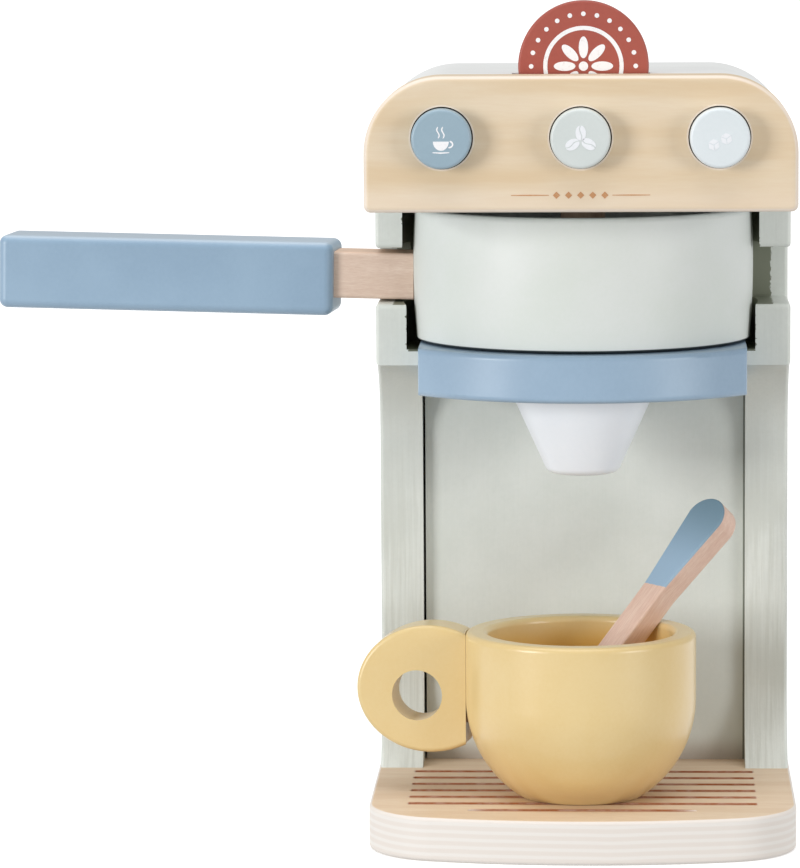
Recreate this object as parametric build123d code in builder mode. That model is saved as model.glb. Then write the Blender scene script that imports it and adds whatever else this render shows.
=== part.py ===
from build123d import *
from math import cos, radians, sin, sqrt
import os

# Wooden play coffee machine, to a child's scale.
# Millimetres. X runs to the right, Y to the back and Z up. The origin is the middle of
# the base board's underside.
#
# A base board, two side panels, a column panel and a rear board carry a shelf and a hood.
# A turned pot with a straight handle stands on the shelf and swings from the left notch,
# past the front, to the right notch. Three sprung buttons press into the header board, a
# pod stands in the slot behind it, and a cup with a stirrer stands on the base.

# ---------------------------------------------------------------- clearances
fit_gap = 0.05            # glued dowels, screws and tenons in their holes
running_gap = 0.08        # plungers in the rail
seat_gap = 0.3            # between a loose piece and what carries it
pick_tolerance = 0.01     # for choosing edges and corners by place

# ---------------------------------------------------------------- base board
body_width = 115.0        # side panels and header board
base_side_margin = 0.5    # base board beyond the side panels
base_depth = 134.5
base_thickness = 12.0
base_bow_radius = 170.0   # bowed front edge
base_front_corner = 22.0
base_rear_corner = 3.0
base_edge_round = 1.0
groove_count = 6          # full-length drip grooves, and one short one in front of them
groove_pitch = 9.39
groove_width = 2.0
groove_depth = 0.5
groove_end_margin = 10.25 # groove's end to the base board's side
short_groove_end_margin = 27.0
groove_setback = 5.5      # first groove, in front of the feet

# ---------------------------------------------------------------- side panels
side_thickness = 12.0
fascia_depth = 66.5       # panel depth beside the pot, from the rear edge
column_depth = 45.5       # panel depth beside the cup
foot_depth = 56.75        # panel depth on the base
foot_rise = 22.0          # height of the concave flare above the base
fascia_rise = 6.4         # underside of the fascia, above the shelf's underside
overhang_rise = 21.7      # height of the concave sweep under the fascia
notch_rise = 10.4         # handle notch, above the shelf's top
notch_height = 15.6
notch_behind_pot = 15.0   # the notch's back face behind the pot's axis
notch_round = 1.5
side_edge_round = 1.0

# ---------------------------------------------------------------- boards between the sides
board_thickness = 8.0     # column panel and rear board
panel_setback = 3.0       # column panel behind the column's front edge
panel_side_gap = 0.35     # each side of the column panel
panel_shift = 0.3         # the column panel sits a little to the right
rear_board_gap = 0.2
shelf_bottom = 109.0      # above the base board
shelf_thickness = 13.0
shelf_bow_radius = 59.0
shelf_side_gap = 0.5
shelf_lip = 3.7           # shelf in front of the pot
shelf_edge_round = 1.5
spout_top_radius = 19.7
spout_bottom_radius = 9.6
spout_height = 22.3
spout_tip_round = 3.0
spout_setback = 31.0      # spout axis behind the shelf's front edge
spout_dowel_rise = 9.5    # into the shelf
spout_dowel_drop = 10.0   # into the spout
spout_bore_spare = 0.5

# ---------------------------------------------------------------- pot and handle
pocket_wall = 7.1         # wood left outside the pot's pocket, at its thinnest
pot_barrel = 0.85         # how far the pot's wall swells beyond its foot
pot_mouth_spread = 0.45   # mouth wider than the foot
pot_height = 36.5
pot_wall = 5.3
pot_rim_round = 1.4
pot_foot_round = 0.98
pot_rear_gap = 1.2        # pot to rear board
pot_floor_thickness = 4.0
pot_floor_ledge = 1.5     # ledge in the ring that the floor sits up against
pot_floor_recess = 0.5    # floor above the ring's foot
pocket_gap_upper = 3.1    # pocket in the side panels, beyond the pot
pocket_gap_lower = 2.1
pocket_floor_drop = 2.2   # pocket floor below the shelf's top
pocket_shift = -0.6       # the pocket is cut a little left of the pot's axis
handle_back_angle = 5.0   # degrees that the handle points behind straight left
handle_rise_angle = 1.1   # degrees that it points up
neck_width = 14.0
neck_height = 13.0
neck_round = 1.0
neck_rise = 7.2           # neck axis above the notch floor, at the side panel
tenon_radius = 4.0
tenon_depth = 20.0        # into the grip
tenon_bore_spare = 0.5    # bore deeper than the tenon
tenon_back_gap = 0.3      # tenon short of the pot's inner wall
grip_clearance = 11.8     # grip's end outside the side panel
grip_length = 95.0
grip_size = 20.5
grip_drop = 1.1           # grip axis below the neck axis
grip_round = 2.4

# ---------------------------------------------------------------- hood and header board
hood_pot_gap = 3.4        # above the pot's rim
hood_height = 36.1
hood_side_setback = 0.4   # hood behind the header board's sides
hood_corner = 22.0
hood_rear_radius = 45.0
header_thickness = 12.0
header_setback = 8.0      # header board behind the base board's bow
header_corner = 20.6
header_bottom_corner = 1.8
header_edge_round = 1.5
cavity_side_wall = 12.1
cavity_floor = 8.0        # wood under the cavity
cavity_height = 20.8
cavity_depth = 48.0
keeper_radius = 6.2       # peg under the hood that keeps the pot in
keeper_reach = 7.7        # below the hood's underside
keeper_depth = 7.0        # into the hood
keeper_round = 1.0

# ---------------------------------------------------------------- buttons
outer_button_inset = 20.8 # outer button's axis from the header board's side
button_rise = 19.8        # button axis above the hood's underside
button_radius = 7.95
button_hole_gap = 0.35
button_length = 13.0
button_proud = 5.5
button_round = 0.9
button_travel = 4.0
plunger_radius = 4.0      # front part, behind the cap
plunger_tenon = 3.0       # radius of the peg in the cap
plunger_peg_depth = 6.0
guide_radius = 2.5        # rear part, in the rail
spring_room = 8.0         # between the plunger's shoulder and the rail
rail_thickness = 10.0
rail_setback = 20.0       # behind the header board
spring_wire = 0.7
spring_turns = 5
spring_guide_gap = 0.45   # around the plunger's rear part
washer_radius = 4.5
washer_thickness = 1.0
stop_screw_radius = 1.0
stop_screw_length = 8.0
stop_head_radius = 2.0
stop_head_height = 1.3
stop_head_round = 0.43

# ---------------------------------------------------------------- pod
pod_radius = 17.4
pod_thickness = 5.5
pod_stand_rise = 0.9      # pod's foot above the middle button's axis
pod_edge_round = 0.7
pod_shift = 0.7           # it leans to the right in its slot
slot_side_gap = 1.0
slot_face_gap = 0.5

# ---------------------------------------------------------------- cup and stirrer
cup_radius = 31.5
cup_height = 45.5
cup_wall = 6.2
cup_straight = 18.5       # straight part of the wall, down from the rim
cup_bowl_radius = 31.8
cup_floor = 7.0
cup_foot_round = 3.0
cup_rim_round = 1.6
cup_x = -0.5
cup_setback = 39.0        # cup's axis behind the base board's bow
cup_turn = 7.0            # degrees that the handle goes behind straight left
ring_half_length = 20.2
ring_half_height = 17.6
ring_standoff = 9.6       # ring's centre outside the cup's wall
ring_rise = 29.3          # ring's centre above the base board
ring_thickness = 12.0
ring_hole_radius = 6.95
ring_hole_drop = 1.8
ring_hole_shift = 3.4
ring_edge_round = 1.2
cup_dowel_radius = 2.0
cup_dowel_length = 11.0
cup_dowel_depth = 4.7     # into the cup's wall
cup_dowel_spacing = 16.0
stirrer_width = 7.4
stirrer_blade_width = 12.6
stirrer_thickness = 7.2
stirrer_floor_gap = 6.55  # its foot's middle above the cup's floor
stirrer_shaft = 17.5      # from the rim to where the blade starts to widen
stirrer_blade = 30.0      # widening blade, with its round end
stirrer_drop = 5.2        # point on its middle line, below the cup's rim
stirrer_inset = 9.022     # the same point inside the cup's inner wall
stirrer_bearing = 45.494  # degrees behind the right, seen from above
stirrer_slope = 52.3      # degrees from level, seen from the front
stirrer_lean = 15.0       # degrees backwards
stirrer_roll = 50.0       # degrees about its own length
stirrer_edge_round = 0.7

# ---------------------------------------------------------------- dowels and screws
dowel_radius = 3.0
shelf_dowel_length = 20.0
hood_dowel_length = 20.0
hood_dowel_front = 6.0    # behind the handle notch
hood_dowel_rear = 12.0    # in front of the rear board
header_dowel_length = 16.0
foot_screw_front = 38.0   # screws under the side panels, from the rear edge
foot_screw_rear = 10.0
panel_screw_inset = 15.5  # screws of the column panel and the rear board, from the side panels
screw_radius = 1.75
screw_head_radius = 3.5
screw_length = 30.0
screw_bore_spare = 1.0    # bore deeper than the screw
shelf_dowel_rear = 8.0    # rear dowel, in front of the rear board
shelf_dowel_front = 12.0  # front dowel, behind the column panel's front
header_dowel_rise = 4.5   # above the cavity's floor
drive_length = 3.6        # cross recess in the screw heads
drive_width = 0.9
drive_depth = 1.3

# ================================================================ places worked out
front_y = -base_depth / 2
rear_y = base_depth / 2
half_width = body_width / 2
base_width = body_width + 2 * base_side_margin
hood_width = body_width - 2 * hood_side_setback
cavity_width = hood_width - 2 * cavity_side_wall
button_pitch = half_width - outer_button_inset
inner_half_width = half_width - side_thickness
panel_screw_x = inner_half_width - panel_screw_inset
top_of_base = base_thickness

fascia_front_y = rear_y - fascia_depth
column_front_y = rear_y - column_depth
foot_front_y = rear_y - foot_depth
rear_board_y = rear_y - board_thickness
column_panel_y = column_front_y + panel_setback
pot_radius = half_width - pocket_wall - pocket_gap_upper    # at the middle of the pot's height
pot_y = rear_board_y - pot_rear_gap - pot_radius
notch_back_y = pot_y + notch_behind_pot

shelf_bottom_z = top_of_base + shelf_bottom
shelf_top_z = shelf_bottom_z + shelf_thickness
fascia_bottom_z = shelf_bottom_z + fascia_rise
overhang_foot_z = fascia_bottom_z - overhang_rise
notch_bottom_z = shelf_top_z + notch_rise
notch_top_z = notch_bottom_z + notch_height
pot_bottom_z = shelf_top_z + seat_gap
pot_top_z = pot_bottom_z + pot_height
hood_bottom_z = pot_top_z + hood_pot_gap
hood_top_z = hood_bottom_z + hood_height

pot_middle_z = (pot_bottom_z + pot_top_z) / 2
pot_foot_radius = pot_radius - pot_barrel
pot_mouth_radius = pot_foot_radius + pot_mouth_spread
pot_inner_radius = pot_radius - pot_wall
grip_start = half_width + grip_clearance
shelf_front_y = pot_y - pot_radius - shelf_lip
shelf_half_width = inner_half_width - shelf_side_gap
shelf_corner_y = shelf_front_y + shelf_bow_radius - sqrt(shelf_bow_radius**2 - shelf_half_width**2)

header_front_y = front_y + header_setback
hood_front_y = header_front_y + header_thickness
cavity_floor_z = hood_bottom_z + cavity_floor
cavity_top_z = cavity_floor_z + cavity_height
button_z = hood_bottom_z + button_rise
cap_front_y = header_front_y - button_proud
cap_back_y = cap_front_y + button_length
rail_front_y = hood_front_y + rail_setback
rail_back_y = rail_front_y + rail_thickness
shoulder_y = rail_front_y - spring_room
plunger_end_y = rail_back_y + seat_gap
pod_front_y = hood_front_y + slot_face_gap
pod_back_y = pod_front_y + pod_thickness
pod_bottom_z = button_z + pod_stand_rise
pod_z = pod_bottom_z + pod_radius

cup_y = front_y + cup_setback
cup_rim_z = top_of_base + cup_height
cup_bowl_z = cup_rim_z - cup_straight
cup_inner_radius = cup_radius - cup_wall
ring_reach = cup_radius + ring_standoff
cup_floor_z = top_of_base + cup_floor


def front_plane(y):
    """Plane at depth y whose sketch is seen from the front: x right, y up."""
    return Plane(origin=(0, y, 0), x_dir=(1, 0, 0), z_dir=(0, -1, 0))


def side_plane(x):
    """Plane at x whose sketch is seen from the right: x towards the back, y up."""
    return Plane(origin=(x, 0, 0), x_dir=(0, 1, 0), z_dir=(1, 0, 0))


def save(sub_part, name):
    """Label one finished sub-part and write its STEP file."""
    sub_part.part.label = name
    export_step(sub_part.part, "parts/" + name + ".step")


os.makedirs("parts", exist_ok=True)

# ================================================================ fastener places
side_middle_x = half_width - side_thickness / 2
base_screw_places = [
    (side * side_middle_x, rear_y - setback)
    for side in (-1, 1)
    for setback in (foot_screw_front, foot_screw_rear)
]
panel_screw_places = [
    (side * panel_screw_x, y + board_thickness / 2)
    for side in (-1, 1)
    for y in (column_panel_y, rear_board_y)
]
all_base_screws = base_screw_places + panel_screw_places
shelf_middle_z = shelf_bottom_z + shelf_thickness / 2
shelf_dowel_ys = (column_panel_y + shelf_dowel_front, rear_board_y - shelf_dowel_rear)
rear_screw_xs = (-panel_screw_x, panel_screw_x)
hood_dowel_ys = (notch_back_y + hood_dowel_front, rear_board_y - hood_dowel_rear)
header_dowel_x = (cavity_width / 2 + hood_width / 2) / 2
header_dowel_z = cavity_floor_z + header_dowel_rise
screw_bore_depth = screw_length - base_thickness + screw_bore_spare

# ================================================================ base board
with BuildPart() as base_board:
    with BuildSketch():
        Rectangle(base_width, base_depth)
        with Locations((0, front_y + base_bow_radius)):
            Circle(base_bow_radius, mode=Mode.INTERSECT)
        front_corners = vertices().sort_by(Axis.Y)[:2]
        fillet(front_corners, base_front_corner)
        rear_corners = vertices().group_by(Axis.Y)[-1]
        fillet(rear_corners, base_rear_corner)
    extrude(amount=base_thickness)
    rims = faces().filter_by(Axis.Z).edges()
    fillet(rims, base_edge_round)
    with BuildSketch(Plane.XY.offset(top_of_base)):
        for row in range(groove_count):
            with Locations((0, foot_front_y - groove_setback - row * groove_pitch)):
                SlotOverall(base_width - 2 * groove_end_margin, groove_width)
        with Locations((0, foot_front_y - groove_setback - groove_count * groove_pitch)):
            SlotOverall(base_width - 2 * short_groove_end_margin, groove_width)
    extrude(amount=-groove_depth, mode=Mode.SUBTRACT)
    for place in all_base_screws:
        with Locations(Plane(origin=(place[0], place[1], 0), z_dir=(0, 0, -1))):
            CounterSinkHole(
                screw_radius + fit_gap,
                screw_head_radius + fit_gap,
                depth=base_thickness,
            )
save(base_board, "base_board")

# ================================================================ side panels
for side, side_name in ((-1, "left"), (1, "right")):
    with BuildPart() as side_panel:
        with BuildSketch(side_plane(side * side_middle_x)):
            with BuildLine():
                Line((rear_y, hood_bottom_z), (rear_y, top_of_base))
                Line((rear_y, top_of_base), (foot_front_y, top_of_base))
                TangentArc(
                    (column_front_y, top_of_base + foot_rise),
                    (foot_front_y, top_of_base),
                    tangent=(0, -1),
                )
                Line((column_front_y, top_of_base + foot_rise), (column_front_y, overhang_foot_z))
                TangentArc(
                    (column_front_y, overhang_foot_z),
                    (fascia_front_y, fascia_bottom_z),
                    tangent=(0, 1),
                )
                Polyline(
                    (fascia_front_y, fascia_bottom_z),
                    (fascia_front_y, notch_bottom_z),
                    (notch_back_y, notch_bottom_z),
                    (notch_back_y, notch_top_z),
                    (fascia_front_y, notch_top_z),
                    (fascia_front_y, hood_bottom_z),
                    (rear_y, hood_bottom_z),
                )
            make_face()
            notch_lips = vertices().filter_by(
                lambda v: abs(v.X - fascia_front_y) < pick_tolerance
                and abs(v.Y - (notch_bottom_z + notch_top_z) / 2) < notch_height / 2 + pick_tolerance
            )
            fillet(notch_lips, notch_round)
        extrude(amount=side_thickness / 2, both=True)
        # round pocket in the inner face, wider above the notch than below it
        with BuildSketch(Plane.XY.offset(shelf_top_z - pocket_floor_drop)):
            with Locations((pocket_shift, pot_y)):
                Circle(pot_radius + pocket_gap_lower)
        extrude(amount=hood_bottom_z, mode=Mode.SUBTRACT)
        with BuildSketch(Plane.XY.offset((notch_bottom_z + notch_top_z) / 2)):
            with Locations((pocket_shift, pot_y)):
                Circle(pot_radius + pocket_gap_upper)
        extrude(amount=hood_bottom_z, mode=Mode.SUBTRACT)
        outer_face = faces().filter_by(Axis.X).sort_by(Axis.X)[0 if side < 0 else -1]
        outer_rim = outer_face.outer_wire().edges().filter_by(
            lambda e: top_of_base + pick_tolerance < e.center().Z < hood_bottom_z - pick_tolerance
        )
        fillet(outer_rim, side_edge_round)
        for place in base_screw_places:
            with BuildSketch(Plane.XY.offset(top_of_base)):
                with Locations(place):
                    Circle(screw_radius + fit_gap)
            extrude(amount=screw_bore_depth, mode=Mode.SUBTRACT)
        for y in shelf_dowel_ys:
            with BuildSketch(side_plane(0)):
                with Locations((y, shelf_middle_z)):
                    Circle(dowel_radius + fit_gap)
            extrude(
                amount=side * (inner_half_width + shelf_dowel_length / 2 + fit_gap),
                mode=Mode.SUBTRACT,
            )
        for y in hood_dowel_ys:
            with BuildSketch(Plane.XY.offset(hood_bottom_z)):
                with Locations((side * side_middle_x, y)):
                    Circle(dowel_radius + fit_gap)
            extrude(amount=-(hood_dowel_length / 2 + fit_gap), mode=Mode.SUBTRACT)
    save(side_panel, "side_panel_" + side_name)

# ================================================================ column panel and rear board
with BuildPart() as column_panel:
    panel_width = 2 * (inner_half_width - panel_side_gap)
    with BuildSketch(front_plane(column_panel_y)):
        with Locations((panel_shift, (top_of_base + shelf_bottom_z) / 2)):
            Rectangle(panel_width, shelf_bottom_z - top_of_base)
    extrude(amount=-board_thickness)
    for place in panel_screw_places:
        with BuildSketch(Plane.XY.offset(top_of_base)):
            with Locations(place):
                Circle(screw_radius + fit_gap)
        extrude(amount=screw_bore_depth, mode=Mode.SUBTRACT)
save(column_panel, "column_panel")

with BuildPart() as rear_board:
    with BuildSketch(front_plane(rear_board_y)):
        with Locations((0, (top_of_base + hood_bottom_z) / 2)):
            Rectangle(2 * (inner_half_width - rear_board_gap), hood_bottom_z - top_of_base)
    extrude(amount=-board_thickness)
    upright_rims = faces().sort_by(Axis.Y)[-1].edges().filter_by(Axis.Z)
    fillet(upright_rims, side_edge_round)
    for place in panel_screw_places:
        with BuildSketch(Plane.XY.offset(top_of_base)):
            with Locations(place):
                Circle(screw_radius + fit_gap)
        extrude(amount=screw_bore_depth, mode=Mode.SUBTRACT)
    for x in rear_screw_xs:
        with Locations(Plane(origin=(x, rear_y, shelf_middle_z), z_dir=(0, 1, 0))):
            CounterSinkHole(
                screw_radius + fit_gap,
                screw_head_radius + fit_gap,
                depth=board_thickness,
            )
save(rear_board, "rear_board")

# ================================================================ shelf and spout
with BuildPart() as shelf:
    with BuildSketch(Plane.XY.offset(shelf_bottom_z)):
        with BuildLine():
            ThreePointArc(
                (-shelf_half_width, shelf_corner_y),
                (0, shelf_front_y),
                (shelf_half_width, shelf_corner_y),
            )
            Polyline(
                (shelf_half_width, shelf_corner_y),
                (shelf_half_width, rear_board_y),
                (-shelf_half_width, rear_board_y),
                (-shelf_half_width, shelf_corner_y),
            )
        make_face()
    extrude(amount=shelf_thickness)
    bow_rims = edges().filter_by(GeomType.CIRCLE)
    front_uprights = edges().filter_by(Axis.Z).sort_by(Axis.Y)[:2]
    fillet(bow_rims + front_uprights, shelf_edge_round)
    for side in (-1, 1):
        for y in shelf_dowel_ys:
            with BuildSketch(side_plane(side * (inner_half_width - shelf_dowel_length / 2 - fit_gap))):
                with Locations((y, shelf_middle_z)):
                    Circle(dowel_radius + fit_gap)
            extrude(amount=side * shelf_dowel_length, mode=Mode.SUBTRACT)
    for x in rear_screw_xs:
        with BuildSketch(front_plane(rear_board_y)):
            with Locations((x, shelf_middle_z)):
                Circle(screw_radius + fit_gap)
        extrude(amount=screw_length - board_thickness + screw_bore_spare, mode=Mode.SUBTRACT)
    with BuildSketch(Plane.XY.offset(shelf_bottom_z)):
        with Locations((0, shelf_front_y + spout_setback)):
            Circle(tenon_radius + fit_gap)
    extrude(amount=spout_dowel_rise + spout_bore_spare, mode=Mode.SUBTRACT)
save(shelf, "shelf")

spout_y = shelf_front_y + spout_setback
spout_tip_z = shelf_bottom_z - spout_height
with BuildPart() as spout:
    with BuildSketch(side_plane(0)):
        with BuildLine():
            Polyline(
                (spout_y, spout_tip_z),
                (spout_y + spout_bottom_radius, spout_tip_z),
                (spout_y + spout_top_radius, shelf_bottom_z),
                (spout_y, shelf_bottom_z),
                (spout_y, spout_tip_z),
            )
        make_face()
    revolve(axis=Axis((0, spout_y, 0), (0, 0, 1)))
    fillet(edges().group_by(Axis.Z)[0], spout_tip_round)
    with BuildSketch(Plane.XY.offset(shelf_bottom_z)):
        with Locations((0, spout_y)):
            Circle(tenon_radius + fit_gap)
    extrude(amount=-(spout_dowel_drop + spout_bore_spare), mode=Mode.SUBTRACT)
save(spout, "spout")

with BuildPart() as spout_dowel:
    with BuildSketch(Plane.XY.offset(shelf_bottom_z - spout_dowel_drop)):
        with Locations((0, spout_y)):
            Circle(tenon_radius)
    extrude(amount=spout_dowel_drop + spout_dowel_rise)
save(spout_dowel, "spout_dowel")

# ================================================================ pot, handle
handle_dir = Vector(
    -cos(radians(handle_back_angle)) * cos(radians(handle_rise_angle)),
    sin(radians(handle_back_angle)) * cos(radians(handle_rise_angle)),
    sin(radians(handle_rise_angle)),
)
handle_side = Vector(-sin(radians(handle_back_angle)), -cos(radians(handle_back_angle)), 0)
neck_z = notch_bottom_z + neck_rise - side_middle_x * sin(radians(handle_rise_angle))
pot_axis = Axis((0, pot_y, 0), (0, 0, 1))


def handle_plane(reach):
    """Plane across the neck's line at a distance from the pot's axis, its y pointing up."""
    foot = Vector(0, pot_y, neck_z) + handle_dir * reach
    return Plane(origin=foot, x_dir=handle_side, z_dir=handle_dir)


with BuildPart() as pot_ring:
    with BuildSketch(side_plane(0)):
        with BuildLine():
            ThreePointArc(
                (pot_y + pot_foot_radius, pot_bottom_z),
                (pot_y + pot_radius, pot_middle_z),
                (pot_y + pot_mouth_radius, pot_top_z),
            )
            floor_rest_z = pot_bottom_z + pot_floor_recess + pot_floor_thickness
            Polyline(
                (pot_y + pot_mouth_radius, pot_top_z),
                (pot_y + pot_inner_radius, pot_top_z),
                (pot_y + pot_inner_radius, floor_rest_z),
                (pot_y + pot_inner_radius + pot_floor_ledge, floor_rest_z),
                (pot_y + pot_inner_radius + pot_floor_ledge, pot_bottom_z),
                (pot_y + pot_foot_radius, pot_bottom_z),
            )
        make_face()
    revolve(axis=pot_axis)
    fillet(edges().group_by(Axis.Z)[-1], pot_rim_round)
    outer_foot = edges().group_by(Axis.Z)[0].sort_by(SortBy.RADIUS)[-1]
    fillet(outer_foot, pot_foot_round)
    with BuildSketch(handle_plane(pot_inner_radius - pot_wall / 2)):
        Circle(tenon_radius + fit_gap)
    extrude(amount=2 * pot_wall, mode=Mode.SUBTRACT)
save(pot_ring, "pot_ring")

with BuildPart() as pot_floor:
    with BuildSketch(Plane.XY.offset(pot_bottom_z + pot_floor_recess)):
        with Locations((0, pot_y)):
            Circle(pot_inner_radius + pot_floor_ledge - fit_gap)
    extrude(amount=pot_floor_thickness)
save(pot_floor, "pot_floor")

with BuildPart() as pot_neck:
    with BuildSketch(handle_plane(pot_inner_radius)):
        Rectangle(neck_width, neck_height)
    extrude(amount=grip_start - pot_inner_radius)
    long_edges = edges().filter_by(lambda e: e.length > neck_width * 1.5)
    fillet(long_edges, neck_round)
    # saddle that fits the pot's wall
    with BuildSketch(Plane.XY.offset(pot_bottom_z)):
        with Locations((0, pot_y)):
            Circle(pot_radius + fit_gap)
    extrude(amount=pot_height, mode=Mode.SUBTRACT)
    with BuildSketch(handle_plane(pot_inner_radius + tenon_back_gap)):
        Circle(tenon_radius)
    extrude(amount=grip_start + tenon_depth - pot_inner_radius - tenon_back_gap)
save(pot_neck, "pot_neck")

with BuildPart() as pot_grip:
    with BuildSketch(handle_plane(grip_start)):
        with Locations((0, -grip_drop)):
            Rectangle(grip_size, grip_size)
    extrude(amount=grip_length)
    fillet(edges(), grip_round)
    with BuildSketch(handle_plane(grip_start)):
        Circle(tenon_radius + fit_gap)
    extrude(amount=tenon_depth + tenon_bore_spare, mode=Mode.SUBTRACT)
save(pot_grip, "pot_grip")

# ================================================================ hood
slot_half_width = pod_radius + slot_side_gap
with BuildPart() as hood:
    with BuildSketch(side_plane(0)):
        with BuildLine():
            flat_end_y = rear_y - hood_rear_radius
            arc_drop = hood_height - hood_rear_radius
            hood_rear_y = flat_end_y + sqrt(hood_rear_radius**2 - arc_drop**2)
            Polyline(
                (hood_rear_y, hood_bottom_z),
                (hood_front_y, hood_bottom_z),
                (hood_front_y, hood_top_z),
                (flat_end_y, hood_top_z),
            )
            RadiusArc((flat_end_y, hood_top_z), (hood_rear_y, hood_bottom_z), hood_rear_radius)
        make_face()
    extrude(amount=hood_width / 2, both=True)
    shoulder_edges = edges().filter_by(
        lambda e: abs(abs(e.center().X) - hood_width / 2) < pick_tolerance
        and e.center().Z > hood_bottom_z + pick_tolerance
        and e.center().Y > hood_front_y + pick_tolerance
    )
    fillet(shoulder_edges, hood_corner)
    with BuildSketch(front_plane(hood_front_y)):
        with Locations((0, (cavity_floor_z + cavity_top_z) / 2)):
            Rectangle(cavity_width, cavity_height)
    extrude(amount=-cavity_depth, mode=Mode.SUBTRACT)
    with BuildSketch(Plane.XY.offset(hood_top_z)):
        with Locations((0, hood_front_y + (pod_thickness + 2 * slot_face_gap) / 2)):
            Rectangle(2 * slot_half_width, pod_thickness + 2 * slot_face_gap)
    extrude(amount=-(hood_top_z - cavity_top_z), mode=Mode.SUBTRACT)
    for side in (-1, 1):
        for y in hood_dowel_ys:
            with BuildSketch(Plane.XY.offset(hood_bottom_z)):
                with Locations((side * side_middle_x, y)):
                    Circle(dowel_radius + fit_gap)
            extrude(amount=hood_dowel_length / 2 + fit_gap, mode=Mode.SUBTRACT)
        with BuildSketch(front_plane(hood_front_y)):
            with Locations((side * header_dowel_x, header_dowel_z)):
                Circle(dowel_radius + fit_gap)
        extrude(amount=-(header_dowel_length / 2 + fit_gap), mode=Mode.SUBTRACT)
    with BuildSketch(Plane.XY.offset(hood_bottom_z)):
        with Locations((0, pot_y)):
            Circle(keeper_radius + fit_gap)
    extrude(amount=keeper_depth + fit_gap, mode=Mode.SUBTRACT)
save(hood, "hood")

with BuildPart() as keeper_peg:
    with BuildSketch(Plane.XY.offset(hood_bottom_z - keeper_reach)):
        with Locations((0, pot_y)):
            Circle(keeper_radius)
    extrude(amount=keeper_reach + keeper_depth)
    fillet(edges().group_by(Axis.Z)[0], keeper_round)
save(keeper_peg, "keeper_peg")

# ================================================================ header board
with BuildPart() as header_board:
    with BuildSketch(front_plane(header_front_y)):
        with Locations((0, (hood_bottom_z + hood_top_z) / 2)):
            Rectangle(body_width, hood_height)
        fillet(vertices().group_by(Axis.Y)[-1], header_corner)
        fillet(vertices().group_by(Axis.Y)[0], header_bottom_corner)
    extrude(amount=-header_thickness)
    fillet(faces().sort_by(Axis.Y)[0].edges(), header_edge_round)
    with BuildSketch(front_plane(header_front_y)):
        for step in (-1, 0, 1):
            with Locations((step * button_pitch, button_z)):
                Circle(button_radius + button_hole_gap)
    extrude(amount=-header_thickness, mode=Mode.SUBTRACT)
    for side in (-1, 1):
        with BuildSketch(front_plane(hood_front_y)):
            with Locations((side * header_dowel_x, header_dowel_z)):
                Circle(dowel_radius + fit_gap)
        extrude(amount=header_dowel_length / 2 + fit_gap, mode=Mode.SUBTRACT)
save(header_board, "header_board")

# ================================================================ buttons
with BuildPart() as plunger_rail:
    with BuildSketch(front_plane(rail_front_y)):
        with Locations((0, (cavity_floor_z + cavity_top_z) / 2)):
            Rectangle(cavity_width - 2 * fit_gap, cavity_height)
        for step in (-1, 0, 1):
            with Locations((step * button_pitch, button_z)):
                Circle(guide_radius + running_gap, mode=Mode.SUBTRACT)
    extrude(amount=-rail_thickness)
save(plunger_rail, "plunger_rail")

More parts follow.
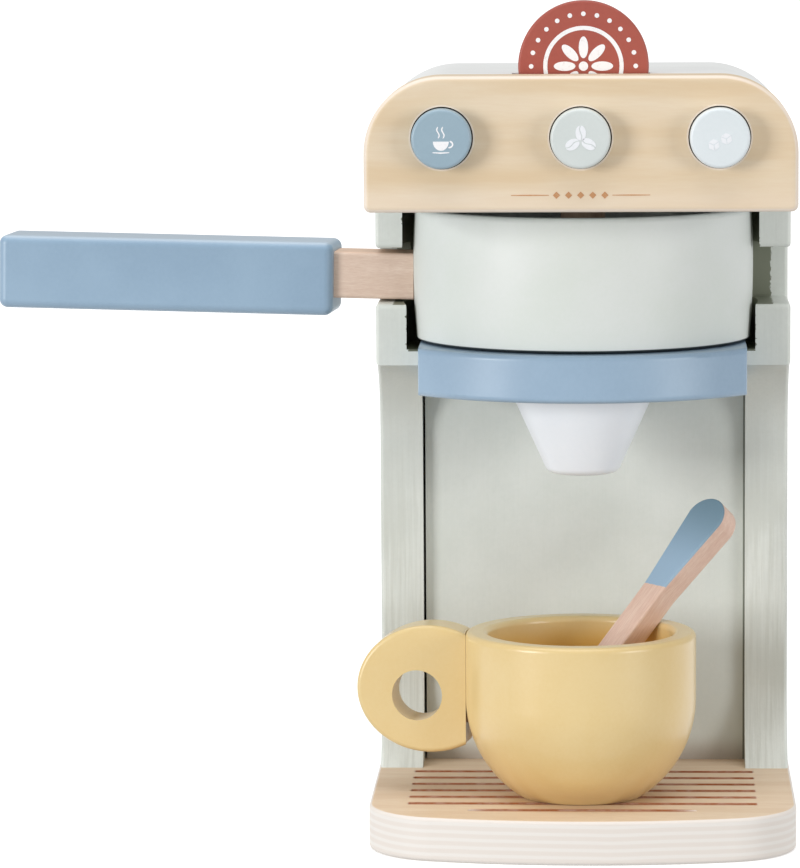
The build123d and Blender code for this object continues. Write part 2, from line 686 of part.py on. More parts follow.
spring_radius = guide_radius + spring_guide_gap + spring_wire / 2
for step, button_name in ((-1, "left"), (0, "middle"), (1, "right")):
    button_x = step * button_pitch
    with BuildPart() as button_cap:
        with BuildSketch(front_plane(cap_front_y)):
            with Locations((button_x, button_z)):
                Circle(button_radius)
        extrude(amount=-button_length)
        fillet(edges().group_by(Axis.Y)[0], button_round)
        with BuildSketch(front_plane(cap_back_y)):
            with Locations((button_x, button_z)):
                Circle(plunger_tenon + fit_gap)
        extrude(amount=plunger_peg_depth + fit_gap, mode=Mode.SUBTRACT)
    save(button_cap, "button_cap_" + button_name)

    with BuildPart() as plunger:
        with BuildSketch(front_plane(cap_back_y - plunger_peg_depth)):
            with Locations((button_x, button_z)):
                Circle(plunger_tenon)
        extrude(amount=-plunger_peg_depth)
        with BuildSketch(front_plane(cap_back_y)):
            with Locations((button_x, button_z)):
                Circle(plunger_radius)
        extrude(amount=-(shoulder_y - cap_back_y))
        with BuildSketch(front_plane(shoulder_y)):
            with Locations((button_x, button_z)):
                Circle(guide_radius)
        extrude(amount=-(plunger_end_y - shoulder_y))
        if step == 0:
            # flat that the pod stands on, long enough for the button's travel
            with BuildSketch(side_plane(0)):
                with BuildLine():
                    flat_z = pod_bottom_z - seat_gap
                    flat_front_y = pod_front_y - slot_face_gap - button_travel
                    flat_back_y = pod_back_y + slot_face_gap
                    clear_z = button_z + 2 * plunger_radius
                    Polyline(
                        (flat_front_y, flat_z),
                        (flat_back_y, flat_z),
                        (flat_back_y, clear_z),
                        (flat_front_y, clear_z),
                        (flat_front_y, flat_z),
                    )
                make_face()
            extrude(amount=2 * plunger_radius, both=True, mode=Mode.SUBTRACT)
        with BuildSketch(front_plane(plunger_end_y)):
            with Locations((button_x, button_z)):
                Circle(stop_screw_radius + fit_gap)
        extrude(amount=stop_screw_length - washer_thickness, mode=Mode.SUBTRACT)
    save(plunger, "plunger_" + button_name)

    spring_start_y = shoulder_y + spring_wire / 2 + fit_gap
    spring_length = spring_room - spring_wire - 2 * fit_gap
    with BuildPart() as spring:
        with BuildLine():
            coil = Helix(
                spring_length / spring_turns,
                spring_length,
                spring_radius,
                center=(button_x, spring_start_y, button_z),
                direction=(0, 1, 0),
            )
        with BuildSketch(Plane(origin=coil @ 0, z_dir=coil % 0)):
            Circle(spring_wire / 2)
        sweep(path=coil, is_frenet=True)
    save(spring, "spring_" + button_name)

    with BuildPart() as washer:
        with BuildSketch(front_plane(plunger_end_y)):
            with Locations((button_x, button_z)):
                Circle(washer_radius)
                Circle(stop_screw_radius + fit_gap, mode=Mode.SUBTRACT)
        extrude(amount=-washer_thickness)
    save(washer, "washer_" + button_name)

    with BuildPart() as stop_screw:
        head_y = plunger_end_y + washer_thickness
        with BuildSketch(front_plane(head_y)):
            with Locations((button_x, button_z)):
                Circle(stop_head_radius)
        extrude(amount=-stop_head_height)
        fillet(edges().group_by(Axis.Y)[-1], stop_head_round)
        with BuildSketch(front_plane(head_y)):
            with Locations((button_x, button_z)):
                Circle(stop_screw_radius)
        extrude(amount=stop_screw_length)
    save(stop_screw, "stop_screw_" + button_name)

# ================================================================ pod
with BuildPart() as pod:
    with BuildSketch(front_plane(pod_front_y)):
        with Locations((pod_shift, pod_z)):
            Circle(pod_radius)
    extrude(amount=-pod_thickness)
    fillet(edges().filter_by(GeomType.CIRCLE), pod_edge_round)
save(pod, "pod")

# ================================================================ cup
cup_axis = Axis((cup_x, cup_y, 0), (0, 0, 1))
bowl_centre = cup_radius - cup_bowl_radius
foot_radius = bowl_centre + sqrt(cup_bowl_radius**2 - (cup_bowl_z - top_of_base) ** 2)
inner_bowl_z = cup_floor_z + cup_inner_radius
with BuildPart() as cup_body:
    with BuildSketch(Plane(origin=(cup_x, cup_y, 0), x_dir=(1, 0, 0), z_dir=(0, -1, 0))):
        with BuildLine():
            Line((0, top_of_base), (foot_radius, top_of_base))
            RadiusArc((foot_radius, top_of_base), (cup_radius, cup_bowl_z), -cup_bowl_radius)
            Polyline(
                (cup_radius, cup_bowl_z),
                (cup_radius, cup_rim_z),
                (cup_inner_radius, cup_rim_z),
                (cup_inner_radius, inner_bowl_z),
            )
            RadiusArc((cup_inner_radius, inner_bowl_z), (0, cup_floor_z), cup_inner_radius)
            Line((0, cup_floor_z), (0, top_of_base))
        make_face()
    revolve(axis=cup_axis)
    fillet(edges().group_by(Axis.Z)[-1], cup_rim_round)
    fillet(edges().group_by(Axis.Z)[0], cup_foot_round)
    cup_side_dir = Vector(-cos(radians(cup_turn)), sin(radians(cup_turn)), 0)
    ring_x_dir = Vector(-sin(radians(cup_turn)), -cos(radians(cup_turn)), 0)
    for rise in (-cup_dowel_spacing / 2, cup_dowel_spacing / 2):
        dowel_foot = Vector(cup_x, cup_y, top_of_base + ring_rise + rise) + cup_side_dir * (
            cup_radius - cup_dowel_depth - fit_gap
        )
        with BuildSketch(Plane(origin=dowel_foot, x_dir=ring_x_dir, z_dir=cup_side_dir)):
            Circle(cup_dowel_radius + fit_gap)
        extrude(amount=cup_dowel_length, mode=Mode.SUBTRACT)
save(cup_body, "cup_body")

ring_centre = Vector(cup_x, cup_y, top_of_base + ring_rise) + cup_side_dir * ring_reach
ring_plane = Plane(origin=ring_centre, x_dir=-cup_side_dir, z_dir=ring_x_dir)
with BuildPart() as cup_handle:
    with BuildSketch(ring_plane):
        Ellipse(ring_half_length, ring_half_height)
    extrude(amount=ring_thickness / 2, both=True)
    with BuildSketch(Plane.XY.offset(top_of_base)):
        with Locations((cup_x, cup_y)):
            Circle(cup_radius + fit_gap)
    extrude(amount=body_width, mode=Mode.SUBTRACT)
    fillet(edges().filter_by(GeomType.ELLIPSE), ring_edge_round)
    with BuildSketch(ring_plane):
        with Locations((-ring_hole_shift, -ring_hole_drop)):
            Circle(ring_hole_radius)
    extrude(amount=ring_thickness, both=True, mode=Mode.SUBTRACT)
    for rise in (-cup_dowel_spacing / 2, cup_dowel_spacing / 2):
        dowel_foot = Vector(cup_x, cup_y, top_of_base + ring_rise + rise) + cup_side_dir * (
            cup_radius - cup_dowel_depth
        )
        with BuildSketch(Plane(origin=dowel_foot, x_dir=ring_x_dir, z_dir=cup_side_dir)):
            Circle(cup_dowel_radius + fit_gap)
        extrude(amount=cup_dowel_length + fit_gap, mode=Mode.SUBTRACT)
save(cup_handle, "cup_handle")

with BuildPart() as cup_dowels:
    for rise in (-cup_dowel_spacing / 2, cup_dowel_spacing / 2):
        dowel_foot = Vector(cup_x, cup_y, top_of_base + ring_rise + rise) + cup_side_dir * (
            cup_radius - cup_dowel_depth
        )
        with BuildSketch(Plane(origin=dowel_foot, x_dir=ring_x_dir, z_dir=cup_side_dir)):
            Circle(cup_dowel_radius)
        extrude(amount=cup_dowel_length)
save(cup_dowels, "cup_dowels")

# ================================================================ stirrer
slope = radians(stirrer_slope)
lean = radians(stirrer_lean)
roll = radians(stirrer_roll)
stirrer_dir = Vector(cos(lean) * cos(slope), sin(lean), cos(lean) * sin(slope))
towards_front = Vector(sin(lean) * cos(slope), -cos(lean), sin(lean) * sin(slope))
towards_left = Vector(-sin(slope), 0, cos(slope))
stirrer_face = towards_front * cos(roll) + towards_left * sin(roll)
stirrer_reach = cup_inner_radius - stirrer_inset
stirrer_point = Vector(
    cup_x + stirrer_reach * cos(radians(stirrer_bearing)),
    cup_y + stirrer_reach * sin(radians(stirrer_bearing)),
    cup_rim_z - stirrer_drop,
)
stirrer_tail = (stirrer_point.Z - cup_floor_z - stirrer_floor_gap) / stirrer_dir.Z
stirrer_plane = Plane(origin=stirrer_point, x_dir=stirrer_dir, z_dir=stirrer_face)
blade_radius = stirrer_blade_width / 2
blade_end = stirrer_shaft + stirrer_blade
with BuildPart() as stirrer:
    with BuildSketch(stirrer_plane):
        with BuildLine():
            Polyline(
                (blade_end - blade_radius, blade_radius),
                (stirrer_shaft, stirrer_width / 2),
                (-stirrer_tail, stirrer_width / 2),
                (-stirrer_tail, -stirrer_width / 2),
                (stirrer_shaft, -stirrer_width / 2),
                (blade_end - blade_radius, -blade_radius),
            )
            ThreePointArc(
                (blade_end - blade_radius, -blade_radius),
                (blade_end, 0),
                (blade_end - blade_radius, blade_radius),
            )
        make_face()
    extrude(amount=stirrer_thickness / 2, both=True)
    fillet(edges(), stirrer_edge_round)
save(stirrer, "stirrer")

# ================================================================ dowels and screws
with BuildPart() as shelf_dowels:
    for side in (-1, 1):
        for y in shelf_dowel_ys:
            with BuildSketch(side_plane(side * (inner_half_width - shelf_dowel_length / 2))):
                with Locations((y, shelf_middle_z)):
                    Circle(dowel_radius)
            extrude(amount=side * shelf_dowel_length)
save(shelf_dowels, "shelf_dowels")

with BuildPart() as hood_dowels:
    for side in (-1, 1):
        for y in hood_dowel_ys:
            with BuildSketch(Plane.XY.offset(hood_bottom_z - hood_dowel_length / 2)):
                with Locations((side * side_middle_x, y)):
                    Circle(dowel_radius)
            extrude(amount=hood_dowel_length)
save(hood_dowels, "hood_dowels")

with BuildPart() as header_dowels:
    for side in (-1, 1):
        with BuildSketch(front_plane(hood_front_y - header_dowel_length / 2)):
            with Locations((side * header_dowel_x, header_dowel_z)):
                Circle(dowel_radius)
        extrude(amount=-header_dowel_length)
save(header_dowels, "header_dowels")

screw_head_height = screw_head_radius - screw_radius


def screw_profile():
    """Half section of a countersunk screw, its head's face at the origin and its shank up."""
    return Polyline(
        (0, 0),
        (screw_head_radius, 0),
        (screw_radius, screw_head_height),
        (screw_radius, screw_length - screw_radius),
        (0, screw_length),
        (0, 0),
    )


with BuildPart() as base_screws:
    for x, y in all_base_screws:
        with BuildSketch(Plane(origin=(x, y, 0), x_dir=(1, 0, 0), z_dir=(0, -1, 0))):
            with BuildLine():
                screw_profile()
            make_face()
        revolve(axis=Axis((x, y, 0), (0, 0, 1)))
    with BuildSketch():
        with Locations(*all_base_screws):
            Rectangle(drive_length, drive_width)
            Rectangle(drive_width, drive_length)
    extrude(amount=drive_depth, mode=Mode.SUBTRACT)
save(base_screws, "base_screws")

with BuildPart() as rear_screws:
    for x in rear_screw_xs:
        with BuildSketch(Plane(origin=(x, rear_y, shelf_middle_z), x_dir=(1, 0, 0), z_dir=(0, 0, 1))):
            with BuildLine():
                Polyline(
                    (0, 0),
                    (screw_head_radius, 0),
                    (screw_radius, -screw_head_height),
                    (screw_radius, -(screw_length - screw_radius)),
                    (0, -screw_length),
                    (0, 0),
                )
            make_face()
        revolve(axis=Axis((x, rear_y, shelf_middle_z), (0, 1, 0)))
    with BuildSketch(front_plane(rear_y)):
        with Locations(*[(x, shelf_middle_z) for x in rear_screw_xs]):
            Rectangle(drive_length, drive_width)
            Rectangle(drive_width, drive_length)
    extrude(amount=drive_depth, mode=Mode.SUBTRACT)
save(rear_screws, "rear_screws")
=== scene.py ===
"""Dresses a wooden play coffee machine: its paints, bare woods, printed marks, light and camera."""

import logging
import math
from collections.abc import Callable
from dataclasses import dataclass, field
from enum import Enum

import bmesh
import bpy
from mathutils import Matrix, Vector


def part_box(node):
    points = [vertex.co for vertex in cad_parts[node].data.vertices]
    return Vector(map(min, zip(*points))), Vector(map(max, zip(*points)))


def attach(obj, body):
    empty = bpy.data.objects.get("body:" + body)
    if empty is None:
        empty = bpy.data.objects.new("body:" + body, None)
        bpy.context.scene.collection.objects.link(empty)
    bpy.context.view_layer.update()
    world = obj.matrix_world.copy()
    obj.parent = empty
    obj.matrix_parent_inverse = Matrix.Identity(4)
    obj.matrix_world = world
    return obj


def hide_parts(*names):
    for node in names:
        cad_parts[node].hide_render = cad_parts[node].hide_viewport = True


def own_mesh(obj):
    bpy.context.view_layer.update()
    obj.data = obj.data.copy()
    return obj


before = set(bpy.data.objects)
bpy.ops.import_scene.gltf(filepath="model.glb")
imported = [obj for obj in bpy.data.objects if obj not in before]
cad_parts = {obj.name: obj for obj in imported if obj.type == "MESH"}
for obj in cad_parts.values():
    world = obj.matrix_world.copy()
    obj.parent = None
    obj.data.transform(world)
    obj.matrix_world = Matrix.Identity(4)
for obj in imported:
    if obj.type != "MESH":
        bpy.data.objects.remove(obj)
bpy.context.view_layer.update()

LOG = logging.getLogger("play_coffee_machine")

MM = 0.001
PRINT_THICKNESS = 0.08 * MM
PRINT_SINK = 0.02 * MM
MERGE_REACH = 0.001 * MM
COAT_ROUGHNESS = 0.28
SPECULAR_LEVEL = 0.4
X_AXIS, Y_AXIS, Z_AXIS = Vector((1, 0, 0)), Vector((0, 1, 0)), Vector((0, 0, 1))

Material = bpy.types.Material
Thing = bpy.types.Object
Outline = list[tuple[float, float]]


# ---------------------------------------------------------------- wiring
def linear(hex_colour: str) -> tuple[float, float, float, float]:
    """Turns a display colour into scene light.

    Args:
        hex_colour: A colour such as "#d0d5d1".

    Returns:
        Linear red, green and blue, and an alpha of one.
    """
    channels = [int(hex_colour[place : place + 2], 16) / 255 for place in (1, 3, 5)]
    light = [c / 12.92 if c <= 0.04045 else ((c + 0.055) / 1.055) ** 2.4 for c in channels]
    return light[0], light[1], light[2], 1.0


def sign(operation: str, swapped: bool = False) -> Callable[..., "Signal"]:
    """Gives the method that works one sign of arithmetic.

    Args:
        operation: The Math node's name for it.
        swapped: Whether the other number comes first.

    Returns:
        The method.
    """

    def work(self: "Signal", *others: "Value") -> "Signal":
        """Works the sign on this number and the others."""
        values = (self, *others)
        return self.wiring.math(operation, *(values[::-1] if swapped else values))

    return work


class Signal:
    """What a node gives out; one that is a number takes the usual signs of arithmetic."""

    def __init__(self, wiring: "Wiring", socket: bpy.types.NodeSocket) -> None:
        """Keeps the socket and the wiring that it belongs to."""
        self.wiring, self.socket = wiring, socket

    __add__ = sign("ADD")
    __sub__ = sign("SUBTRACT")
    __rsub__ = sign("SUBTRACT", swapped=True)
    __mul__ = sign("MULTIPLY")
    __truediv__ = sign("DIVIDE")
    __rtruediv__ = sign("DIVIDE", swapped=True)
    __gt__ = sign("GREATER_THAN")
    __lt__ = sign("LESS_THAN")
    __abs__ = sign("ABSOLUTE")


Value = float | tuple | str | Signal
Signals = dict[str, Signal]


class Wiring:
    """Adds nodes to one tree and joins them."""

    def __init__(self, tree: bpy.types.NodeTree) -> None:
        """Keeps the tree that the nodes go into."""
        self.tree = tree

    def feed(self, node: bpy.types.Node, values: dict[int | str, Value]) -> None:
        """Gives a node's inputs their values.

        Args:
            node: The node.
            values: What each input gets, by its name or number: a signal, or the input's own
                value, where a display colour stands for scene light.
        """
        for key, value in values.items():
            if isinstance(value, Signal):
                self.tree.links.new(value.socket, node.inputs[key])
            else:
                node.inputs[key].default_value = linear(value) if isinstance(value, str) else value

    def node(self, kind: str, values: dict | None = None, **settings: object) -> bpy.types.Node:
        """Adds a node.

        Args:
            kind: Blender's name of the node type.
            values: What its inputs get.
            **settings: The node's own properties.

        Returns:
            The new node.
        """
        node = self.tree.nodes.new(kind)
        for name, setting in settings.items():
            setattr(node, name, setting)
        self.feed(node, values or {})
        return node

    def add(self, kind: str, values: dict | None = None, output: int | str = 0, **settings: object) -> Signal:
        """Adds a node and gives one of its outputs."""
        return Signal(self, self.node(kind, values, **settings).outputs[output])

    def outputs(self, node: bpy.types.Node) -> Signals:
        """Gives all that a node gives out, by name."""
        return {output.name: Signal(self, output) for output in node.outputs}

    def math(self, operation: str, *values: Value) -> Signal:
        """Works a sum on one to three numbers."""
        return self.add("ShaderNodeMath", dict(enumerate(values)), operation=operation)

    def dot(self, vector: Signal, direction: Vector) -> Signal:
        """Gives how far a vector reaches along a fixed direction."""
        values = {0: vector, 1: tuple(direction)}
        return self.add("ShaderNodeVectorMath", values, "Value", operation="DOT_PRODUCT")

    def stretched(self, vector: Signal, scale: tuple[float, float, float]) -> Signal:
        """Gives a vector multiplied along each axis."""
        return self.add("ShaderNodeVectorMath", {0: vector, 1: scale}, operation="MULTIPLY")

    def split(self, vector: Signal) -> tuple[Signal, ...]:
        """Gives a vector's x, y and z."""
        return tuple(self.outputs(self.node("ShaderNodeSeparateXYZ", {0: vector})).values())

    def joined(self, x: Value, y: Value, z: Value) -> Signal:
        """Gives the vector of three numbers."""
        return self.add("ShaderNodeCombineXYZ", {0: x, 1: y, 2: z})

    def noise(self, vector: Signal, scale: Value, detail: float = 2.0, rough: float = 0.5) -> Signal:
        """Gives smooth noise between nought and one."""
        values = {"Vector": vector, "Scale": scale, "Detail": detail, "Roughness": rough}
        return self.add("ShaderNodeTexNoise", values)

    def remap(self, value: Signal, low: float, high: float, to_low: float = 0.0, to_high: float = 1.0) -> Signal:
        """Moves a number from one range to another along an S curve, and clips it there."""
        values = {0: value, 1: low, 2: high, 3: to_low, 4: to_high}
        return self.add("ShaderNodeMapRange", values, interpolation_type="SMOOTHSTEP")

    def blend(self, factor: Value, first: Value, second: Value, kind: str = "MIX") -> Signal:
        """Mixes two colours."""
        values = {0: factor, 6: first, 7: second}
        return self.add("ShaderNodeMix", values, 2, data_type="RGBA", blend_type=kind)

    def bump(self, height: Signal, strength: float, distance: float, normal: Signal | None = None) -> Signal:
        """Gives the way the surface faces once a height has tipped it."""
        over = {} if normal is None else {"Normal": normal}
        return self.add("ShaderNodeBump", {"Height": height, "Strength": strength, "Distance": distance, **over})

    def place(self) -> Signal:
        """Gives the point's place on the object."""
        return self.add("ShaderNodeTexCoord", None, "Object")

    def facing(self) -> tuple[Signal, ...]:
        """Gives the way the surface faces on the object, as x, y and z."""
        return self.split(self.add("ShaderNodeTexCoord", None, "Normal"))

    def length(self, first: Signal, second: Signal) -> Signal:
        """Gives the length of a flat vector from its two parts."""
        return self.math("SQRT", first * first + second * second)

    def between(self, value: Signal, low: float, high: float) -> Signal:
        """Gives one where a number lies between two limits, and nought elsewhere."""
        return (value > low) * (value < high)


class Effect:
    """A shader group of numbers that is built once and placed in many materials."""

    title = ""
    takes: dict[str, float] = {}
    built: dict[str, bpy.types.NodeTree] = {}

    @staticmethod
    def wire(wiring: Wiring, given: Signals) -> Signals:
        """Builds the group's inside; each effect has its own.

        Args:
            wiring: The group's tree.
            given: The group's inputs.

        Returns:
            What the group gives out, by name.
        """
        raise NotImplementedError

    @classmethod
    def tree(cls) -> bpy.types.NodeTree:
        """Gives the group, and builds it the first time.

        Returns:
            The group, with a vector and the effect's own numbers as its inputs.
        """
        if cls.title not in Effect.built:
            group = bpy.data.node_groups.new(cls.title, "ShaderNodeTree")
            group.interface.new_socket("Vector", in_out="INPUT", socket_type="NodeSocketVector")
            for name, start in cls.takes.items():
                socket = group.interface.new_socket(name, in_out="INPUT", socket_type="NodeSocketFloat")
                socket.default_value = start
            wiring = Wiring(group)
            results = cls.wire(wiring, wiring.outputs(wiring.node("NodeGroupInput")))
            for name in results:
                group.interface.new_socket(name, in_out="OUTPUT", socket_type="NodeSocketFloat")
            wiring.node("NodeGroupOutput", results)
            Effect.built[cls.title] = group
        return Effect.built[cls.title]

    @classmethod
    def use(cls, wiring: Wiring, **values: Value) -> Signals:
        """Places the group in a material.

        Args:
            wiring: The material's tree.
            **values: What each input gets, with an underscore for each space in its name.

        Returns:
            The placed group's outputs.
        """
        named = {name.replace("_", " "): value for name, value in values.items()}
        return wiring.outputs(wiring.node("ShaderNodeGroup", named, node_tree=cls.tree()))


class WoodGrain(Effect):
    """Growth streaks and fine fibres that run along the vector's x axis, the streaks bent by a slow drift."""

    title = "wood_grain"
    takes = {"Streak Pitch": 4.0 * MM, "Fibre Pitch": 0.35 * MM, "Stretch": 14.0}

    @staticmethod
    def wire(wiring: Wiring, given: Signals) -> Signals:
        """Stretches noises along the grain."""
        x, y, z = wiring.split(given["Vector"])
        drift = wiring.noise(wiring.stretched(given["Vector"], (0.25, 1.0, 1.0)), 22.0, 1.0)
        along = wiring.joined(x / given["Stretch"], y, z + drift * (14.0 * MM))
        streak = wiring.remap(wiring.noise(along, 1.0 / given["Streak Pitch"], 3.0, 0.6), 0.3, 0.72)
        fibre = wiring.remap(wiring.noise(along, 1.0 / given["Fibre Pitch"], 2.0, 0.6), 0.28, 0.74)
        return {"Streak": streak, "Fibre": fibre, "Height": streak * 0.35 + fibre}


class PaintSkin(Effect):
    """A brushed-on coat: slow tone drift, small mottle and the skin's fine unevenness."""

    title = "paint_skin"
    takes = {"Drift Size": 30.0 * MM, "Skin Size": 1.1 * MM}

    @staticmethod
    def wire(wiring: Wiring, given: Signals) -> Signals:
        """Adds slow and quick noise for the tone, and gives quick noise alone as the height."""
        drift = wiring.noise(given["Vector"], 1.0 / given["Drift Size"], 3.0, 0.55)
        skin = wiring.noise(given["Vector"], 1.0 / given["Skin Size"], 2.0, 0.5)
        return {"Tone": wiring.remap(drift * 0.8 + skin * 0.2, 0.3, 0.7), "Height": skin}


class RaisedFibres(Effect):
    """Wood fibres that stand up under thin paint as fine ribs along z, in patches."""

    title = "raised_fibres"
    takes = {"Rib Pitch": 0.5 * MM, "Patch": 18.0 * MM}

    @staticmethod
    def wire(wiring: Wiring, given: Signals) -> Signals:
        """Stretches noise along z and lets it come and go."""
        upright = wiring.stretched(given["Vector"], (1.0, 1.0, 0.035))
        rib = wiring.noise(upright, 1.0 / given["Rib Pitch"], 3.0, 0.65)
        patch = wiring.noise(given["Vector"], 1.0 / given["Patch"], 1.0, 0.5)
        height = rib * wiring.remap(patch, 0.3, 0.6, 0.45, 1.0)
        return {"Rib": wiring.remap(height, 0.2, 0.62), "Height": height}


class EdgeChips(Effect):
    """Small ragged chips within a given width of an edge."""

    title = "edge_chips"
    takes = {"Distance": 1.0, "Width": 0.6 * MM, "Chip Size": 1.6 * MM, "Amount": 0.5}

    @staticmethod
    def wire(wiring: Wiring, given: Signals) -> Signals:
        """Lets noise decide how far each chip reaches in from the edge."""
        noise = wiring.noise(given["Vector"], 1.0 / given["Chip Size"], 3.0, 0.7)
        reach = (noise - (1.0 - given["Amount"])) * 5.0 * given["Width"]
        return {"Mask": wiring.remap(reach - given["Distance"], 0.0, 0.12 * MM)}


class PlyLayers(Effect):
    """Veneer layers that show on a board's edge, light and dark by turns, with a thin line between."""

    title = "ply_layers"
    takes = {"Layer": 1.05 * MM}

    @staticmethod
    def wire(wiring: Wiring, given: Signals) -> Signals:
        """Folds the height into layers, bent a little by slow noise."""
        sway = wiring.noise(wiring.stretched(given["Vector"], (1.0, 1.0, 0.2)), 28.0, 2.0, 0.5)
        bent = wiring.split(given["Vector"])[2] + sway * (1.0 * MM)
        wave = wiring.math("SINE", bent / given["Layer"] * math.pi)
        return {"Tone": wiring.remap(wave, -0.85, 0.85), "Line": wiring.remap(abs(wave), 0.0, 0.28, 1.0, 0.0)}


# ---------------------------------------------------------------- finishes
Change = Callable[[Wiring, Signal], Signal]


def new_material(name: str) -> tuple[Material, Wiring, bpy.types.Node]:
    """Starts a material.

    Args:
        name: The material's name.

    Returns:
        The material, its wiring and its shader.
    """
    material = bpy.data.materials.new(name)
    material.use_nodes = True
    return material, Wiring(material.node_tree), material.node_tree.nodes["Principled BSDF"]


@dataclass(frozen=True)
class Finish:
    """What every finish has: a name, a main and a second tone, a roughness and some lacquer."""

    name: str
    colour: str
    deep: str
    roughness: float = 0.5
    coat: float = 0.0
    metallic: float = 0.0

    def surface(self, wiring: Wiring) -> tuple[Signal, Signal, Signal]:
        """Builds the surface; each finish has its own.

        Args:
            wiring: The material's tree.

        Returns:
            The colour, the roughness and the normal.
        """
        raise NotImplementedError

    def material(self, name: str = "", change: Change | None = None) -> Material:
        """Gives a material with this finish.

        Args:
            name: The material's name, if it isn't the finish's own.
            change: What marks the colour further, given the wiring and the colour.

        Returns:
            The material.
        """
        material, wiring, shader = new_material(name or self.name)
        colour, rough, normal = self.surface(wiring)
        if change:
            colour = change(wiring, colour)
        wiring.feed(shader, {"Base Color": colour, "Roughness": rough, "Normal": normal})
        wiring.feed(shader, {"Coat Weight": self.coat, "Coat Roughness": COAT_ROUGHNESS})
        wiring.feed(shader, {"Specular IOR Level": SPECULAR_LEVEL, "Metallic": self.metallic})
        return material


@dataclass(frozen=True)
class Paint(Finish):
    """Water-based paint on wood, with the wood's fibres raised under it where it is thin."""

    skin_bump: float = 0.06
    fibre_bump: float = 0.0
    fibre_tint: float = 0.0
    fibre_shade: tuple[float, float, float, float] = (0.86, 0.87, 0.86, 1.0)

    def surface(self, wiring: Wiring) -> tuple[Signal, Signal, Signal]:
        """Builds the coat, over raised fibres where it is thin."""
        skin = PaintSkin.use(wiring, Vector=wiring.place())
        colour = wiring.blend(skin["Tone"], self.deep, self.colour)
        normal = wiring.bump(skin["Height"], self.skin_bump, 0.2 * MM)
        if self.fibre_bump > 0:
            fibres = RaisedFibres.use(wiring, Vector=wiring.place())
            dark = wiring.blend(1.0, colour, self.fibre_shade, "MULTIPLY")
            colour = wiring.blend((1.0 - fibres["Rib"]) * self.fibre_tint, colour, dark)
            normal = wiring.bump(fibres["Height"], self.fibre_bump, 0.25 * MM, normal)
        return colour, skin["Tone"] * -0.05 + (self.roughness + 0.03), normal


@dataclass(frozen=True)
class BareWood(Finish):
    """Sanded wood with its grain along one axis of the object."""

    roughness: float = 0.55
    fibre: str = "#b98f78"
    along: tuple[float, float, float] = (1.0, 0.0, 0.0)
    streak_pitch: float = 4.0 * MM
    fibre_pitch: float = 0.22 * MM
    stretch: float = 14.0
    fibre_amount: float = 0.35
    grain_bump: float = 0.12

    def surface(self, wiring: Wiring) -> tuple[Signal, Signal, Signal]:
        """Lays streaks and then fibres along the grain."""
        turn = Vector(self.along).rotation_difference(X_AXIS).to_euler()
        grain = WoodGrain.use(
            wiring,
            Vector=wiring.add("ShaderNodeMapping", {"Vector": wiring.place(), "Rotation": tuple(turn)}),
            Streak_Pitch=self.streak_pitch,
            Fibre_Pitch=self.fibre_pitch,
            Stretch=self.stretch,
        )
        colour = wiring.blend(grain["Streak"], self.deep, self.colour)
        colour = wiring.blend((1.0 - grain["Fibre"]) * self.fibre_amount, colour, self.fibre)
        normal = wiring.bump(grain["Height"], self.grain_bump, 0.15 * MM)
        return colour, grain["Fibre"] * -0.08 + (self.roughness + 0.04), normal


@dataclass(frozen=True)
class Print(Finish):
    """Screen-printed ink or a scorched mark: a thin even film, with worn spots in the second tone."""

    spot_scale: float = 1400.0

    def surface(self, wiring: Wiring) -> tuple[Signal, Signal, Signal]:
        """Wears the film in small spots."""
        spots = wiring.noise(wiring.place(), self.spot_scale, 3.0, 0.65)
        wear = wiring.remap(spots, 0.52, 0.78)
        colour = wiring.blend(wear, self.colour, self.deep)
        return colour, wear * 0.1 + self.roughness, wiring.bump(spots, 0.08, 0.05 * MM)


@dataclass(frozen=True)
class PlatedSteel(Finish):
    """Zinc-plated wire and screws."""

    metallic: float = 1.0
    bloom_scale: float = 900.0

    def surface(self, wiring: Wiring) -> tuple[Signal, Signal, Signal]:
        """Clouds the plating a little."""
        bloom = wiring.noise(wiring.place(), self.bloom_scale, 3.0, 0.6)
        tone = wiring.remap(bloom, 0.35, 0.7)
        colour = wiring.blend(tone, self.deep, self.colour)
        return colour, tone * 0.12 + self.roughness, wiring.bump(bloom, 0.1, 0.05 * MM)


SAGE = Paint("sage_paint", "#e4e8e2", "#daded8", 0.5, 0.03, skin_bump=0.05, fibre_bump=0.16, fibre_tint=0.2)
PANEL = Paint("panel_paint", "#dfe3de", "#d6dbd5", 0.55, 0.03, fibre_bump=0.1, fibre_tint=0.15)
POT = Paint("pot_paint", "#e2e6e3", "#dce2dc", 0.5, 0.05)
HOOD = Paint("hood_paint", "#edeeed", "#e6e8e7", 0.45, 0.08)
BLUE = Paint("blue_paint", "#9bb4ca", "#92abc2", 0.36, 0.22)
GRIP = Paint("grip_paint", "#92acc2", "#89a3ba", 0.36, 0.22)
SLATE = Paint("slate_cap_paint", "#9ab1be", "#92a9b7", 0.4, 0.15)
GREY_CAP = Paint("grey_cap_paint", "#d5dbd9", "#cdd4d2", 0.4, 0.15)
WHITE_CAP = Paint("white_cap_paint", "#dfe6e9", "#d8e0e3", 0.4, 0.15)
SPOUT = Paint("spout_paint", "#f5f9fe", "#f0f5fb", 0.4, 0.15)
RED = Paint("brick_red_paint", "#a75547", "#9d4c42", 0.5, 0.05)
YELLOW = Paint("straw_yellow_paint", "#e3ca93", "#dfc387", 0.3, 0.45, skin_bump=0.015)
BEECH_X = BareWood("beech_along_x", "#dcc4b1", "#d2b5a2", streak_pitch=1.6 * MM)
BEECH_Y = BareWood("beech_along_y", "#d9bfa6", "#cdae93", along=(0.0, 1.0, 0.0))
BEECH_Z = BareWood("beech_along_z", "#d9bfa6", "#cdae93", along=(0.0, 0.0, 1.0))
